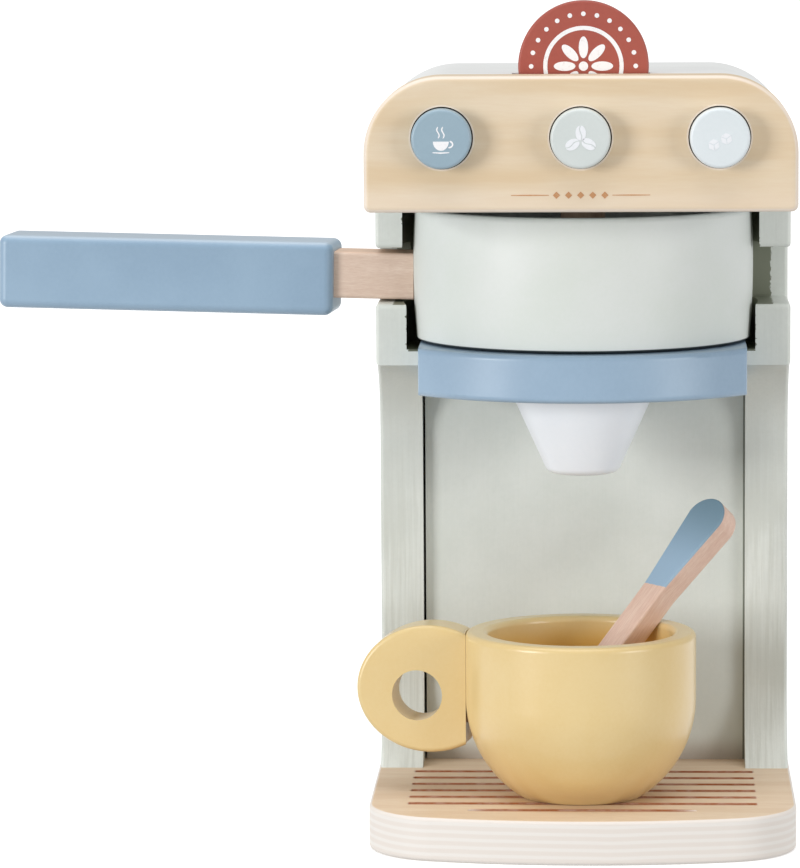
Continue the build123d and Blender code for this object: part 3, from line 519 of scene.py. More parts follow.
NECK = BareWood("neck_beech", "#e6d1c0", "#dbc3b1", fibre="#c6a18b", streak_pitch=1.6 * MM)
PINE = BareWood(
    "header_wood", "#e3d2b8", "#dac3a1", 0.5, 0.06, fibre="#d4b795", streak_pitch=8.0 * MM,
    fibre_pitch=0.6 * MM, stretch=9.0, fibre_amount=0.16, grain_bump=0.05,
)
VENEER = BareWood(
    "base_veneer", "#ecd7bd", "#e2c8aa", 0.5, 0.05, fibre="#d7b896", streak_pitch=6.0 * MM,
    fibre_pitch=0.4 * MM, stretch=12.0, fibre_amount=0.3, grain_bump=0.06,
)
WHITE_INK = Print("white_ink", "#f3f3f5", "#e2dfe0")
PALE_INK = Print("pale_ink", "#eceef2", "#e0e4e7")
SCORCH = Print("scorched_mark", "#c08d62", "#cfa57e", 0.65)
ZINC = PlatedSteel("zinc_plate", "#c3c6c9", "#8f9499", 0.32)


# ---------------------------------------------------------------- objects
def add_object(name: str, data: bpy.types.ID) -> Thing:
    """Puts an object with its data into the scene."""
    piece = bpy.data.objects.new(name, data)
    bpy.context.scene.collection.objects.link(piece)
    return piece


def dress(material: Material, *nodes: str) -> None:
    """Gives CAD nodes their material.

    Args:
        material: The material.
        *nodes: The names of the nodes.
    """
    for node in nodes:
        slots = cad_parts[node].data.materials
        if not slots:
            slots.append(material)
        for place in range(len(slots)):
            slots[place] = material


def keep(piece: Thing, body: str, material: Material) -> None:
    """Settles a new piece.

    Args:
        piece: The piece.
        body: The CAD body that it rides on.
        material: Its material, if it has none yet.
    """
    if not piece.data.materials:
        piece.data.materials.append(material)
    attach(piece, body)
    LOG.info("%s rides on %s", piece.name, body)


# ---------------------------------------------------------------- flat marks
@dataclass(frozen=True)
class Face:
    """A flat face: a point on it, and the ways across and up it."""

    origin: Vector
    across: Vector
    up: Vector

    def out(self) -> Vector:
        """Gives the way out of the face."""
        return self.across.cross(self.up).normalized()


@dataclass(frozen=True)
class FlatPrint:
    """Thin closed shapes that lie on a flat face, drawn in millimetres in the face's own x and y."""

    name: str
    face: Face
    outlines: list[Outline]

    def build(self) -> Thing:
        """Makes one mesh of all the shapes.

        Returns:
            The new object, its faces outwards.
        """
        points: list[Vector] = []
        faces: list[tuple[int, ...]] = []
        for outline in self.outlines:
            area = sum(a[0] * b[1] - b[0] * a[1] for a, b in zip(outline, outline[1:] + outline[:1]))
            loop = outline if area > 0 else outline[::-1]
            first, count = len(points), len(loop)
            for height in (PRINT_THICKNESS, -PRINT_SINK):
                base = self.face.origin + self.face.out() * height
                points += [base + self.face.across * (x * MM) + self.face.up * (y * MM) for x, y in loop]
            faces.append(tuple(range(first, first + count)))
            faces.append(tuple(range(first + 2 * count - 1, first + count - 1, -1)))
            for place in range(count):
                after = (place + 1) % count
                faces.append((first + place, first + count + place, first + count + after, first + after))
        mesh = bpy.data.meshes.new(self.name)
        mesh.from_pydata(points, [], faces)
        mesh.validate()
        return add_object(self.name, mesh)


def arc(centre: tuple[float, float], radius: tuple[float, float], start: float, end: float, steps: int) -> Outline:
    """Gives points along part of an ellipse.

    Args:
        centre: The ellipse's middle.
        radius: Its half width and half height.
        start: The first angle in degrees.
        end: The last angle in degrees.
        steps: How many stretches the arc is cut into.

    Returns:
        The points, both ends included.
    """
    turns = [math.radians(start + (end - start) * step / steps) for step in range(steps + 1)]
    return [(centre[0] + radius[0] * math.cos(t), centre[1] + radius[1] * math.sin(t)) for t in turns]


def disc(radius: float, steps: int) -> Outline:
    """Gives a round outline about the origin, its last point a step short of its first."""
    return arc((0, 0), (radius, radius), 0, 360 - 360 / (steps + 1), steps)


def ring(outer: float, inner: float) -> list[Outline]:
    """Gives a ring about the origin as two closed halves that meet end to end.

    Args:
        outer: The outer radius.
        inner: The inner radius.

    Returns:
        The outlines of the halves.
    """
    halves = []
    for start in (0, 180):
        far = arc((0, 0), (outer, outer), start, start + 180, 36)
        halves.append(far + arc((0, 0), (inner, inner), start + 180, start, 36))
    return halves


def ribbon(path: Outline, width: float) -> Outline:
    """Gives a band along a path, its ends tapered a little.

    Args:
        path: The points along the band's middle.
        width: The band's width.

    Returns:
        The band's outline.
    """
    left, right = [], []
    last = len(path) - 1
    for place, (x, y) in enumerate(path):
        before, after = path[max(place - 1, 0)], path[min(place + 1, last)]
        dx, dy = after[0] - before[0], after[1] - before[1]
        length = math.hypot(dx, dy) or 1.0
        half = width / 2 * (0.55 if place in (0, last) else 1.0)
        left.append((x - dy / length * half, y + dx / length * half))
        right.append((x + dy / length * half, y - dx / length * half))
    return left + right[::-1]


def turned(outline: Outline, angle: float, shift: tuple[float, float]) -> Outline:
    """Gives an outline turned by an angle in degrees and then moved."""
    c, s = math.cos(math.radians(angle)), math.sin(math.radians(angle))
    return [(x * c - y * s + shift[0], x * s + y * c + shift[1]) for x, y in outline]


def motif_object(name: str, outline: Outline) -> Thing:
    """Makes a mark lying flat about the origin, hidden, for a tree to copy.

    Args:
        name: The mark's name.
        outline: Its shape.

    Returns:
        The hidden object.
    """
    piece = FlatPrint(name, Face(Vector((0, 0, 0)), X_AXIS, Y_AXIS), [outline]).build()
    piece.hide_render = piece.hide_viewport = True
    return piece


class Layout(Enum):
    """How a repeated mark is laid out."""

    RING = "ring"
    ROW = "row"


@dataclass(frozen=True)
class RepeatedMark:
    """One small mark repeated by Geometry Nodes, round a ring of a given radius or along a row of a given pitch."""

    name: str
    layout: Layout
    motif: Thing
    count: int
    size: float
    face: Face
    material: Material

    def tree(self) -> bpy.types.NodeTree:
        """Builds the tree, its sizes as named inputs.

        Returns:
            The new geometry tree.
        """
        group = bpy.data.node_groups.new("repeat_" + self.name, "GeometryNodeTree")
        group.interface.new_socket("Geometry", in_out="OUTPUT", socket_type="NodeSocketGeometry")
        for name, kind in (("Motif", "Object"), ("Count", "Int"), ("Size", "Float"), ("Material", "Material")):
            group.interface.new_socket(name, in_out="INPUT", socket_type="NodeSocket" + kind)
        wiring = Wiring(group)
        given = wiring.outputs(wiring.node("NodeGroupInput"))
        index = wiring.add("GeometryNodeInputIndex")
        if self.layout is Layout.RING:
            angle = index / given["Count"] * (2 * math.pi)
            place = [wiring.math(way, angle) * given["Size"] for way in ("COSINE", "SINE")]
        else:
            angle = 0.0
            place = [(index - (given["Count"] - 1.0) * 0.5) * given["Size"], 0.0]
        points = {"Count": given["Count"], "Position": wiring.joined(*place, 0.0)}
        copies = {
            "Points": wiring.add("GeometryNodePoints", points),
            "Instance": wiring.add("GeometryNodeObjectInfo", {"Object": given["Motif"]}, "Geometry"),
            "Rotation": wiring.joined(0.0, 0.0, angle),
        }
        solid = wiring.add("GeometryNodeRealizeInstances", {0: wiring.add("GeometryNodeInstanceOnPoints", copies)})
        dressed = {"Geometry": solid, "Material": given["Material"]}
        wiring.node("NodeGroupOutput", {0: wiring.add("GeometryNodeSetMaterial", dressed)})
        return group

    def build(self) -> Thing:
        """Runs the tree and keeps its result as a plain mesh.

        Returns:
            The finished object.
        """
        carrier = add_object(self.name + "_carrier", bpy.data.meshes.new(self.name + "_empty"))
        modifier = carrier.modifiers.new("repeat", "NODES")
        modifier.node_group = self.tree()
        values = {"Motif": self.motif, "Count": self.count, "Size": self.size * MM, "Material": self.material}
        for item in modifier.node_group.interface.items_tree:
            if item.item_type == "SOCKET" and item.in_out == "INPUT":
                modifier[item.identifier] = values[item.name]
        bpy.context.view_layer.update()
        shown = carrier.evaluated_get(bpy.context.evaluated_depsgraph_get())
        mesh = bpy.data.meshes.new_from_object(shown)
        turn = Matrix((self.face.across, self.face.up, self.face.out())).transposed().to_4x4()
        mesh.transform(Matrix.Translation(self.face.origin) @ turn)
        mesh.name = self.name
        bpy.data.objects.remove(carrier)
        return add_object(self.name, mesh)


# ---------------------------------------------------------------- sub-assemblies
@dataclass
class Base:
    """The plywood base board with its burnt drip grooves."""

    groove_pitch: float = 9.39 * MM
    first_groove: float = 5.0 * MM
    groove_reach: float = 47.6 * MM
    last_reach: float = 30.5 * MM
    groove_count: int = 7
    end_fade: float = 0.5 * MM
    last_end_fade: float = 5.0 * MM
    burn_core: float = 1.1 * MM
    burn_fade: float = 2.3 * MM
    burn_depth: float = 1.0 * MM
    char_scale: float = 900.0
    shade_start: float = 18.0 * MM
    shade_full: float = 26.0 * MM
    shade_most: float = 0.45

    def build(self) -> None:
        """Dresses the board and its screws."""
        dress(VENEER.material("base_plywood", self.plywood), "base_board")
        dress(ZINC.material(), "base_screws")

    def plywood(self, wiring: Wiring, colour: Signal) -> Signal:
        """Paints shade on the veneer by the column, whitewashes the layers of the edge and scorches the grooves.

        Args:
            wiring: The material's tree.
            colour: The veneer's colour.

        Returns:
            The board's colour.
        """
        place = wiring.place()
        x, y, z = wiring.split(place)
        # painted shade: the veneer darkens towards the column as a painted contact shadow
        painted_contact_shade = wiring.remap(y, self.shade_start, self.shade_full, 0.0, self.shade_most)
        colour = wiring.blend(painted_contact_shade, colour, "#a98568")
        layers = PlyLayers.use(wiring, Vector=place)
        edge = wiring.blend(layers["Tone"], "#e6ded6", "#ece7e1")
        edge = wiring.blend(layers["Line"] * 0.22, edge, "#ddd0c4")
        on_edge = wiring.remap(abs(wiring.facing()[2]), 0.88, 0.975, 1.0, 0.0)
        colour = wiring.blend(on_edge, colour, edge)

        row = (y - self.first_groove) / self.groove_pitch
        gap = abs(row - wiring.math("ROUND", row)) * self.groove_pitch
        in_rows = wiring.between(row, 0.5 - self.groove_count, 0.5)
        full = row > 1.5 - self.groove_count
        past = abs(x) - (full * (self.groove_reach - self.last_reach) + self.last_reach)
        fade = self.last_end_fade - full * (self.last_end_fade - self.end_fade)
        inside = wiring.remap(past / fade, -1.0, 0.25, 1.0, 0.0)
        scorched = wiring.noise(wiring.stretched(place, (0.4, 1.0, 1.0)), self.char_scale)
        halo = wiring.remap(gap, self.burn_core, self.burn_fade, 1.0, 0.0)
        near_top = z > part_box("base_board")[1].z - self.burn_depth
        burn = halo * inside * in_rows * near_top * wiring.remap(scorched, 0.25, 0.65, 0.7, 1.0)
        return wiring.blend(burn, colour, "#aa6840")


@dataclass
class Column:
    """Side panels, column panel and rear board."""

    pocket_shift: float = -0.6 * MM
    pocket_low_radius: float = 49.4 * MM
    pocket_high_radius: float = 50.4 * MM
    pocket_floor: float = 131.8 * MM
    pocket_step: float = 152.2 * MM
    notch_floor: float = 144.4 * MM
    notch_top: float = 160.0 * MM
    notch_bare: float = 53.9 * MM
    notch_slack: float = 0.4 * MM
    notch_ragged: float = 2.4 * MM
    chip_width: float = 0.7 * MM
    fascia_skin: float = 0.8 * MM
    streak_top: float = 118.0 * MM
    streak_full: float = 60.0 * MM
    streak_pitch: float = 1.1 * MM
    streak_patch: float = 26.0 * MM
    painted_shade_rise: float = 8.0 * MM
    joint_outer: float = 0.35 * MM
    joint_inner: float = 0.55 * MM

    def build(self) -> None:
        """Dresses the boards."""
        dress(SAGE.material("side_panel_paint", self.side_paint), "side_panel_left", "side_panel_right")
        dress(PANEL.material("column_panel_paint", self.panel_paint), "column_panel")
        dress(PANEL.material(), "rear_board")

    def panel_paint(self, wiring: Wiring, colour: Signal) -> Signal:
        """Paints shade low on the column panel where it stands on the base, and darkens the joint at its right.

        Args:
            wiring: The material's tree.
            colour: The paint's colour.

        Returns:
            The panel's colour.
        """
        x, _, z = wiring.split(wiring.place())
        low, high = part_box("column_panel")
        # painted shade: the panel darkens towards the base as a painted contact shadow
        painted_low_shade = wiring.remap(z, low.z, low.z + self.painted_shade_rise, 0.55, 0.0)
        colour = wiring.blend(painted_low_shade, colour, "#8b6f58")
        joint = wiring.remap(x, high.x - self.joint_inner, high.x - self.joint_outer, 0.0, 0.85)
        return wiring.blend(joint, colour, "#5f6358")

    def side_paint(self, wiring: Wiring, colour: Signal) -> Signal:
        """Streaks the side panels' paint, chips its edges, and darkens the pot's pocket and the notch, partly as
        their bare wood and partly as painted shade.

        Args:
            wiring: The material's tree.
            colour: The paint's colour.

        Returns:
            The panels' colour.
        """
        place = wiring.place()
        x, y, z = wiring.split(place)
        brushed = wiring.stretched(place, (1.0, 0.06, 1.0))
        streaks = RaisedFibres.use(wiring, Vector=brushed, Rib_Pitch=self.streak_pitch, Patch=self.streak_patch)
        low_down = wiring.remap(z, self.streak_full, self.streak_top, 1.0, 0.12)
        colour = wiring.blend((1.0 - streaks["Rib"]) * low_down * 0.55, colour, "#bfc2b8")

        pot_low, pot_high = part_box("pot_ring")
        away_x, away_y = x - self.pocket_shift, y - (pot_low.y + pot_high.y) / 2
        radius = wiring.length(away_x, away_y)
        across, forward, up = wiring.facing()
        inward = (away_x * across + away_y * forward) / radius < -0.6
        above = z > self.pocket_floor - 0.5 * MM
        wall = inward * (radius < self.pocket_high_radius + 0.8 * MM) * above
        at_floor = wiring.between(z, self.pocket_floor - 0.6 * MM, self.pocket_floor + 0.6 * MM)
        floor = (up > 0.7) * (radius < self.pocket_low_radius + 0.3 * MM) * at_floor

        ragged = wiring.noise(place, 700.0, 3.0, 0.7) * self.notch_ragged
        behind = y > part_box("side_panel_left")[0].y + self.fascia_skin
        at_notch = wiring.between(z, self.notch_floor - self.notch_slack, self.notch_top + self.notch_slack)
        notch = (abs(x) + ragged < self.notch_bare) * behind * at_notch

        widening = self.pocket_high_radius - self.pocket_low_radius
        edge = (z > self.pocket_step) * widening + self.pocket_low_radius
        chips = EdgeChips.use(wiring, Vector=place, Distance=radius - edge, Width=self.chip_width, Amount=0.47)
        chipped = chips["Mask"] * ((forward < -0.7) * above)

        # the notch's darker olive is partly bare wood and partly painted shade
        colour = wiring.blend(notch, colour, "#7c806f")
        colour = wiring.blend(chipped, colour, "#5d6150")
        # the pocket's wall and floor are darkened, partly as bare wood and partly as painted shade in the recess
        return wiring.blend(wiring.math("MAXIMUM", wall, floor), colour, "#7b7f6a")


@dataclass
class Shelf:
    """The bowed blue shelf and the white spout."""

    def build(self) -> None:
        """Dresses the shelf, the spout and what holds them."""
        dress(BLUE.material(), "shelf")
        dress(SPOUT.material(), "spout")
        dress(BEECH_Z.material(), "spout_dowel")
        dress(BEECH_X.material(), "shelf_dowels")
        dress(ZINC.material("rear_zinc_plate"), "rear_screws")


@dataclass
class Head:
    """Header board, hood, and the rail inside."""

    mark_drop: float = 4.6 * MM
    line_start: float = 8.4
    line_length: float = 10.0
    line_width: float = 0.32
    diamond_count: int = 5
    diamond_pitch: float = 3.2
    diamond_half: float = 0.95
    pale_full: float = 2.0 * MM
    pale_end: float = 9.0 * MM
    hole_radius: float = 8.3 * MM
    hole_highlight_start: float = 0.2 * MM
    hole_highlight_end: float = 0.6 * MM
    bore_slack: float = 0.3 * MM

    def build(self) -> None:
        """Dresses the header, the hood and the pegs, and adds the header's scorched ornament."""
        dress(PINE.material("header_wood", self.header_wood), "header_board")
        dress(HOOD.material(), "hood")
        dress(BEECH_Y.material(), "plunger_rail", "header_dowels")
        dress(BEECH_Z.material(), "hood_dowels", "keeper_peg")
        self.ornament()

    def header_wood(self, wiring: Wiring, colour: Signal) -> Signal:
        """Pales the wood along its low edge, paints a highlight on the rounded rim and round the holes, and paints
        shade inside the holes.

        Args:
            wiring: The material's tree.
            colour: The wood's colour.

        Returns:
            The header's colour.
        """
        x, _, z = wiring.split(wiring.place())
        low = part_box("header_board")[0]
        cap_low, cap_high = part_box("button_cap_right")
        pale = wiring.remap(z, low.z + self.pale_full, low.z + self.pale_end, 0.3, 0.0)
        colour = wiring.blend(pale, colour, "#f5e8da")
        from_side = abs(abs(x) - (cap_low.x + cap_high.x) / 2)
        radius = wiring.length(wiring.math("MINIMUM", abs(x), from_side), z - (cap_low.z + cap_high.z) / 2)
        ahead = abs(wiring.facing()[1])
        # painted highlight along the header's rounded rim
        rim_highlight = wiring.remap(ahead, 0.8, 0.97, 1.0, 0.0) * wiring.remap(ahead, 0.05, 0.3)
        hole = self.hole_radius
        # painted highlight on the edge round each hole
        hole_highlight = wiring.remap(radius, hole + self.hole_highlight_start, hole + self.hole_highlight_end, 0.5, 0.0)
        colour = wiring.blend(wiring.math("MAXIMUM", rim_highlight * 0.55, hole_highlight), colour, "#f2e8e0")
        # painted shade on the walls of the button holes
        bore_shade = (radius < hole + self.bore_slack) * (ahead < 0.5)
        return wiring.blend(bore_shade, colour, "#6a5642")

    def ornament(self) -> None:
        """Adds a row of small diamonds with a line on each side, scorched below the buttons."""
        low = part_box("header_board")[0]
        face = Face(Vector((0.0, low.y, low.z + self.mark_drop)), X_AXIS, Z_AXIS)
        scorch = SCORCH.material()
        reach = [self.line_start + self.line_length * share for share in (0.0, 0.5, 1.0)]
        bands = [ribbon([(side * x, 0) for x in reach], self.line_width) for side in (-1, 1)]
        keep(FlatPrint("header_ornament_lines", face, bands).build(), "machine", scorch)
        half = self.diamond_half
        diamond = motif_object("diamond_motif", [(half, 0), (0, half), (-half, 0), (0, -half)])
        name = "header_ornament_diamonds"
        row = RepeatedMark(name, Layout.ROW, diamond, self.diamond_count, self.diamond_pitch, face, scorch)
        keep(row.build(), "machine", scorch)
        bpy.data.objects.remove(diamond)


@dataclass
class Buttons:
    """The three push buttons, their printed signs and the parts behind them."""

    press: float = 4.0 * MM
    bean_seam: float = 0.13
    cube_half: float = 1.35
    cube_rise: float = 0.72
    caps: dict[str, tuple[Paint, str]] = field(
        default_factory=lambda: {
            "left": (SLATE, "blue_cap_paint"),
            "middle": (GREY_CAP, "grey_cap_paint"),
            "right": (WHITE_CAP, "white_cap_paint"),
        }
    )

    def build(self) -> None:
        """Dresses the caps and works, and prints a sign on each cap."""
        wood, steel = BEECH_Y.material(), ZINC.material("button_zinc_plate")
        for side, (paint, _) in self.caps.items():
            dress(paint.material(), "button_cap_" + side)
            dress(wood, "plunger_" + side)
            dress(steel, "washer_" + side, "stop_screw_" + side)
            self.coil(side, steel)
        white, pale = WHITE_INK.material(), PALE_INK.material()
        self.print_sign("left", self.cup_sign(), white)
        self.print_sign("middle", self.bean_sign(), pale)
        self.print_sign("right", self.sugar_sign(), pale)

    def coil(self, side: str, steel: Material) -> None:
        """Gives a spring a welded copy that rides with its button, and hides the CAD spring.

        Args:
            side: The button's side.
            steel: The spring's material.
        """
        node = "spring_" + side
        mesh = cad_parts[node].data.copy()
        mesh.materials.clear()
        shape = bmesh.new()
        shape.from_mesh(mesh)
        bmesh.ops.remove_doubles(shape, verts=shape.verts, dist=MERGE_REACH)
        bmesh.ops.recalc_face_normals(shape, faces=shape.faces)
        shape.to_mesh(mesh)
        shape.free()
        piece = add_object("coil_" + side, mesh)
        keep(piece, "button_" + side, steel)
        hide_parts(node)
        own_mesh(piece)

    def print_sign(self, side: str, outlines: list[Outline], ink: Material) -> None:
        """Prints a sign on one cap.

        Args:
            side: The button's side.
            outlines: The sign's shapes.
            ink: Its material.
        """
        low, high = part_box("button_cap_" + side)
        face = Face(Vector(((low.x + high.x) / 2, low.y, (low.z + high.z) / 2)), X_AXIS, Z_AXIS)
        keep(FlatPrint("sign_" + side, face, outlines).build(), "button_" + side, ink)

    @staticmethod
    def cup_sign() -> list[Outline]:
        """Gives a cup on a saucer with two threads of steam.

        Returns:
            The sign's outlines.
        """
        bowl = [(2.1, -0.6)] + arc((0, -0.6), (2.1, 2.4), 0, -180, 22)
        handle = ribbon(arc((2.05, -1.35), (1.05, 0.85), 75, -95, 12), 0.42)
        saucer = ribbon([(-2.2, -3.5), (0, -3.62), (2.2, -3.5)], 0.4)
        steam = []
        for shift in (-0.75, 0.55):
            path = [(shift + 0.32 * math.sin(step * 0.62), 0.25 + step * 0.3) for step in range(11)]
            steam.append(ribbon(path, 0.34))
        return [bowl, handle, saucer] + steam

    def bean(self, length: float, width: float) -> list[Outline]:
        """Gives a bean as two halves with a curved seam between them.

        Args:
            length: Half the bean's length.
            width: Half its width.

        Returns:
            The outlines of the halves.
        """
        ways = [1 - step / 6 for step in range(13)]
        seam = [(length * way, 0.2 * width * math.sin(math.pi * way)) for way in ways]
        gap = self.bean_seam
        upper = arc((0, gap), (length, width), 0, 180, 20) + [(x, y + gap) for x, y in seam[::-1]][1:-1]
        lower = arc((0, -gap), (length, width), 180, 360, 20) + [(x, y - gap) for x, y in seam][1:-1]
        return [upper, lower]

    def bean_sign(self) -> list[Outline]:
        """Gives three beans in a fan.

        Returns:
            The sign's outlines.
        """
        outlines = []
        for angle, shift in ((92, (0.1, 1.5)), (28, (-2.1, -1.5)), (150, (2.2, -1.4))):
            outlines += [turned(half, angle, shift) for half in self.bean(1.95, 1.25)]
        return outlines

    def sugar_sign(self) -> list[Outline]:
        """Gives two sugar cubes, each as three faces.

        Returns:
            The sign's outlines.
        """
        half, rise = self.cube_half, self.cube_rise
        outlines = []
        for shift in ((-1.75, -0.9), (1.5, 0.7)):
            top = [(0, rise), (half, 0), (0, -rise), (-half, 0)]
            left = [(-half, -0.22), (-0.1, -rise - 0.2), (-0.1, -rise - 1.6), (-half, -1.55)]
            right = [(-x, y) for x, y in left]
            outlines += [turned(face, 8, shift) for face in (top, left, right)]
        return outlines


@dataclass
class Pod:
    """The red pod with a printed ring, a rosette and a circle of dots on both faces."""

    ring_outer: float = 10.7
    ring_inner: float = 9.6
    hub_radius: float = 1.25
    petal_middle: float = 5.0
    petal_size: tuple[float, float] = (2.9, 1.25)
    petal_count: int = 8
    dot_radius: float = 0.62
    dot_count: int = 24
    dot_ring: float = 13.9

    def build(self) -> None:
        """Dresses the disc and prints both faces."""
        dress(RED.material(), "pod")
        ink = WHITE_INK.material()
        low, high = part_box("pod")
        middle = (low + high) / 2
        petal = motif_object("petal_motif", arc((self.petal_middle, 0), self.petal_size, 0, 345, 23))
        dot = motif_object("dot_motif", disc(self.dot_radius, 17))
        marks = ring(self.ring_outer, self.ring_inner) + [disc(self.hub_radius, 23)]
        for side, y, across in (("front", low.y, X_AXIS), ("back", high.y, -X_AXIS)):
            face = Face(Vector((middle.x, y, middle.z)), across, Z_AXIS)
            pieces = (
                FlatPrint("pod_ring_" + side, face, marks),
                RepeatedMark("pod_petals_" + side, Layout.RING, petal, self.petal_count, 0.0, face, ink),
                RepeatedMark("pod_dots_" + side, Layout.RING, dot, self.dot_count, self.dot_ring, face, ink),
            )
            for piece in pieces:
                keep(piece.build(), "pod", ink)
        bpy.data.objects.remove(petal)
        bpy.data.objects.remove(dot)


@dataclass
class Pot:
    """The turned pot and its straight handle."""

    foot_line: float = 0.55 * MM
    foot_blur: float = 0.2 * MM

    def build(self) -> None:
        """Dresses the pot and the handle."""
        dress(POT.material("pot_body_paint", self.painted_foot_shadow), "pot_ring", "pot_floor")
        # the neck's and the grip's top faces get painted top light
        dress(NECK.material("neck_wood", self.top_face_light("#dcb493", 0.35)), "pot_neck")
        dress(GRIP.material("handle_paint", self.top_face_light("#c3cfd8", 0.6)), "pot_grip")

    def painted_foot_shadow(self, wiring: Wiring, colour: Signal) -> Signal:
        """Paints shade along the pot's foot edge, a painted shadow of the gap over the shelf.

        Args:
            wiring: The material's tree.
            colour: The paint's colour.

        Returns:
            The pot's colour.
        """
        z = wiring.split(wiring.place())[2]
        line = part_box("pot_ring")[0].z + self.foot_line
        # painted shadow along the foot, where the pot sits over the shelf
        return wiring.blend(wiring.remap(z, line, line + self.foot_blur, 1.0, 0.0), colour, "#30383c")

    @staticmethod
    def top_face_light(tint: str, amount: float) -> Change:
        """Gives what paints light on the top face of a handle's part, tinting it towards a colour.

        Args:
            tint: The colour that the top is painted towards, for the light falling on it.
            amount: How far it is tinted, up to one.

        Returns:
            The change for the part's finish.
        """

        def change(wiring: Wiring, colour: Signal) -> Signal:
            """Tints what faces up, as painted top light."""
            return wiring.blend(wiring.remap(wiring.facing()[2], 0.6, 0.95, 0.0, amount), colour, tint)

        return change


@dataclass
class Cup:
    """The cup with its ring handle, and the stirrer in it."""

    slope: float = 52.3
    lean: float = 15.0
    roll: float = 50.0
    dip_length: float = 30.0 * MM
    dip_slant: float = 0.22
    dip_ragged: float = 0.5 * MM
    wall: float = 6.2 * MM
    wall_slack: float = 0.4 * MM
    amber_start: float = 0.8 * MM
    amber_full: float = 9.0 * MM

    def build(self) -> None:
        """Dresses the cup and the stirrer."""
        dress(YELLOW.material("cup_paint", self.amber_inner_shade), "cup_body")
        dress(YELLOW.material(), "cup_handle")
        dress(BEECH_X.material(), "cup_dowels")
        wood = BareWood(
            "stirrer_wood", "#ecd2c1", "#e3c3b1", fibre="#c9a18d", along=tuple(self.stirrer_ways()[0]),
            fibre_pitch=0.25 * MM, streak_pitch=1.5 * MM, fibre_amount=0.4,
        )
        dress(wood.material("dipped_stirrer", self.dip), "stirrer")

    def amber_inner_shade(self, wiring: Wiring, colour: Signal) -> Signal:
        """Makes the paint more amber down inside the cup, a painted shade for the warm light bounced inside it.

        Args:
            wiring: The material's tree.
            colour: The paint's colour.

        Returns:
            The cup's colour.
        """
        x, y, z = wiring.split(wiring.place())
        low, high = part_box("cup_body")
        middle = (low + high) / 2
        away_x, away_y = x - middle.x, y - middle.y
        across, forward, up = wiring.facing()
        near = wiring.length(away_x, away_y) < (high.x - low.x) / 2 - self.wall + self.wall_slack
        inward = away_x * across + away_y * forward < 0.0001 * MM
        # painted shade: deeper inside the cup the colour turns amber
        deep = wiring.remap(z, high.z - self.amber_full, high.z - self.amber_start, 0.75, 0.0)
        return wiring.blend(near * inward * (up > -0.2) * deep, colour, "#efbe55")

    def stirrer_ways(self) -> tuple[Vector, Vector]:
        """Gives the way the stirrer points and the way its face looks.

        Returns:
            Both ways, as unit vectors.
        """
        slope, lean, roll = (math.radians(angle) for angle in (self.slope, self.lean, self.roll))
        along = Vector((math.cos(lean) * math.cos(slope), math.sin(lean), math.cos(lean) * math.sin(slope)))
        front = Vector((math.sin(lean) * math.cos(slope), -math.cos(lean), math.sin(lean) * math.sin(slope)))
        left = Vector((-math.sin(slope), 0, math.cos(slope)))
        return along, front * math.cos(roll) + left * math.sin(roll)

    def dip(self, wiring: Wiring, colour: Signal) -> Signal:
        """Paints the stirrer's face blue at the blade, down to a ragged slanting line.

        Args:
            wiring: The material's tree.
            colour: The wood's colour.

        Returns:
            The stirrer's colour.
        """
        along, face = self.stirrer_ways()
        points = [vertex.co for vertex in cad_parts["stirrer"].data.vertices]
        tip, top = (max(point.dot(way) for point in points) for way in (along, face))
        low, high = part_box("stirrer")
        across = along.cross(face) if along.cross(face).x > 0 else face.cross(along)
        place = wiring.place()
        at = wiring.dot(place, along)
        slant = (wiring.dot(place, across) - ((low + high) / 2).dot(across)) * self.dip_slant
        ragged = wiring.noise(place, 900.0) * self.dip_ragged
        painted = at > ragged + slant + (tip - self.dip_length)
        on_face = wiring.dot(place, face) > top - 0.5 * MM
        blue = wiring.blend(wiring.remap(at, tip - self.dip_length * 0.8, tip), "#9cb7cd", "#708b9a")
        return wiring.blend(painted * on_face, colour, blue)


# ---------------------------------------------------------------- studio
@dataclass(frozen=True)
class Softbox:
    """A square light: its place in metres, its side and its power in watts."""

    name: str
    place: tuple[float, float, float]
    side: float
    power: float


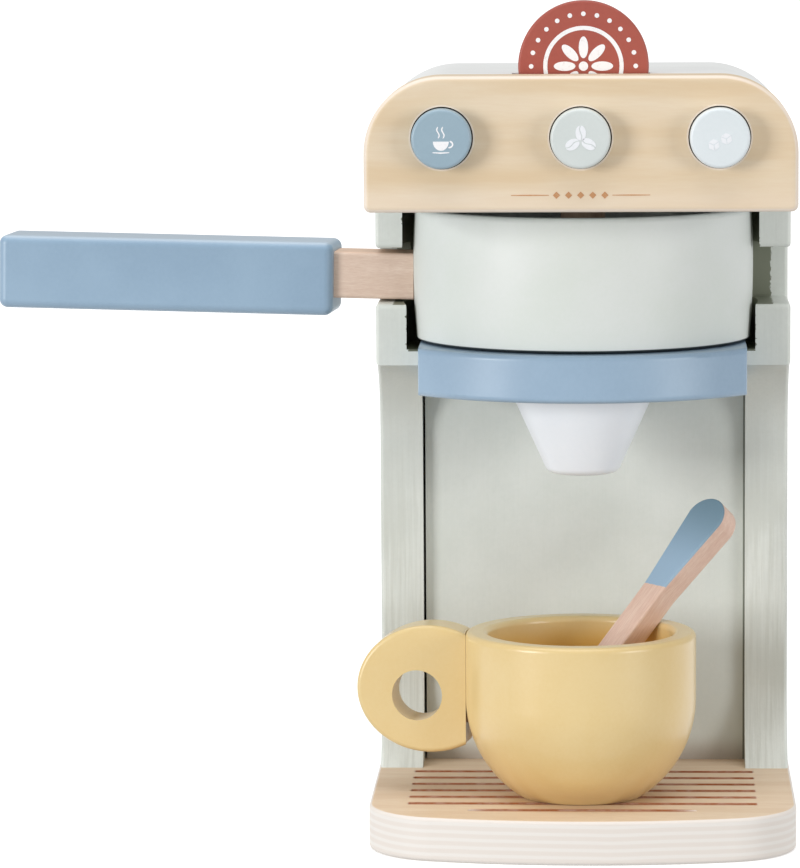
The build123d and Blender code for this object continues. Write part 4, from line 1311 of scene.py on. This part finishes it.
@dataclass
class Studio:
    """Pale floor, soft lights and the camera."""

    camera_place: tuple[float, float, float] = (0.01148, -1.35837, 0.26897)
    yaw: float = -2.63
    pitch: float = 6.74
    roll: float = -0.36
    lens: float = 221.3
    sensor: float = 36.0
    view_depth: float = 50.0
    floor_size: float = 40.0
    floor_glow: float = 0.4
    world_light: float = 0.46
    sky_power: float = 1.66
    sky_spread: float = 60.0
    sky_way: tuple[float, float, float] = (0.05, 0.06, -1.0)
    aim: tuple[float, float, float] = (0, 0, 0.12)
    softboxes: tuple[Softbox, ...] = (
        Softbox("key_light", (-1.6, -1.3, 0.4), 0.7, 22.5),
        Softbox("fill_light", (1.6, -1.2, 0.3), 0.8, 13.6),
    )

    def build(self) -> None:
        """Sets the floor, the lights, the world and the camera."""
        self.floor()
        self.lights()
        world = bpy.data.worlds.new("studio_world")
        bpy.context.scene.world = world
        world.use_nodes = True
        background = world.node_tree.nodes["Background"]
        background.inputs[0].default_value = (1.0, 1.0, 1.0, 1.0)
        background.inputs[1].default_value = self.world_light
        bpy.context.scene.view_settings.view_transform = "Standard"
        self.camera()

    def floor(self) -> None:
        """Lays the floor."""
        half = self.floor_size / 2
        mesh = bpy.data.meshes.new("floor")
        corners = [(-half, -half, 0), (half, -half, 0), (half, half, 0), (-half, half, 0)]
        mesh.from_pydata(corners, [], [(0, 1, 2, 3)])
        floor = add_object("floor", mesh)
        material, wiring, shader = new_material("pale_floor")
        wiring.feed(shader, {"Base Color": "#ececec", "Roughness": 0.8, "Specular IOR Level": 0.1})
        wiring.feed(shader, {"Emission Color": "#ffffff", "Emission Strength": self.floor_glow})
        mesh.materials.append(material)
        floor.visible_diffuse = False

    def lights(self) -> None:
        """Hangs the square lights at the sides, and one very wide soft light overhead."""
        for box in self.softboxes:
            lamp = bpy.data.lights.new(box.name, "AREA")
            lamp.size, lamp.energy = box.side, box.power
            piece = add_object(box.name, lamp)
            piece.location = box.place
            piece.rotation_euler = (Vector(self.aim) - Vector(box.place)).to_track_quat("-Z", "Y").to_euler()
        lamp = bpy.data.lights.new("sky_light", "SUN")
        lamp.energy, lamp.angle = self.sky_power, math.radians(self.sky_spread)
        piece = add_object("sky_light", lamp)
        piece.rotation_euler = Vector(self.sky_way).to_track_quat("-Z", "Y").to_euler()

    def camera(self) -> None:
        """Sets the camera by its place, aim and roll."""
        yaw, pitch, roll = (math.radians(angle) for angle in (self.yaw, self.pitch, self.roll))
        forward = Vector((math.sin(yaw) * math.cos(pitch), math.cos(yaw) * math.cos(pitch), -math.sin(pitch)))
        level = Vector((math.cos(yaw), -math.sin(yaw), 0.0))
        upright = level.cross(forward)
        right = level * math.cos(roll) + upright * math.sin(roll)
        up = -level * math.sin(roll) + upright * math.cos(roll)
        data = bpy.data.cameras.new("camera")
        data.sensor_fit = "HORIZONTAL"
        data.sensor_width, data.lens, data.clip_end = self.sensor, self.lens, self.view_depth
        piece = add_object("camera", data)
        turn = Matrix((right, up, -forward)).transposed().to_4x4()
        piece.matrix_world = Matrix.Translation(Vector(self.camera_place)) @ turn
        bpy.context.scene.camera = piece


def main() -> None:
    """Builds every sub-assembly in turn."""
    logging.basicConfig(level=logging.INFO, format="%(name)s: %(message)s")
    for part in (Base(), Column(), Shelf(), Head(), Buttons(), Pod(), Pot(), Cup(), Studio()):
        part.build()
        LOG.info("%s done", type(part).__name__)


if __name__ == "__main__":
    main()
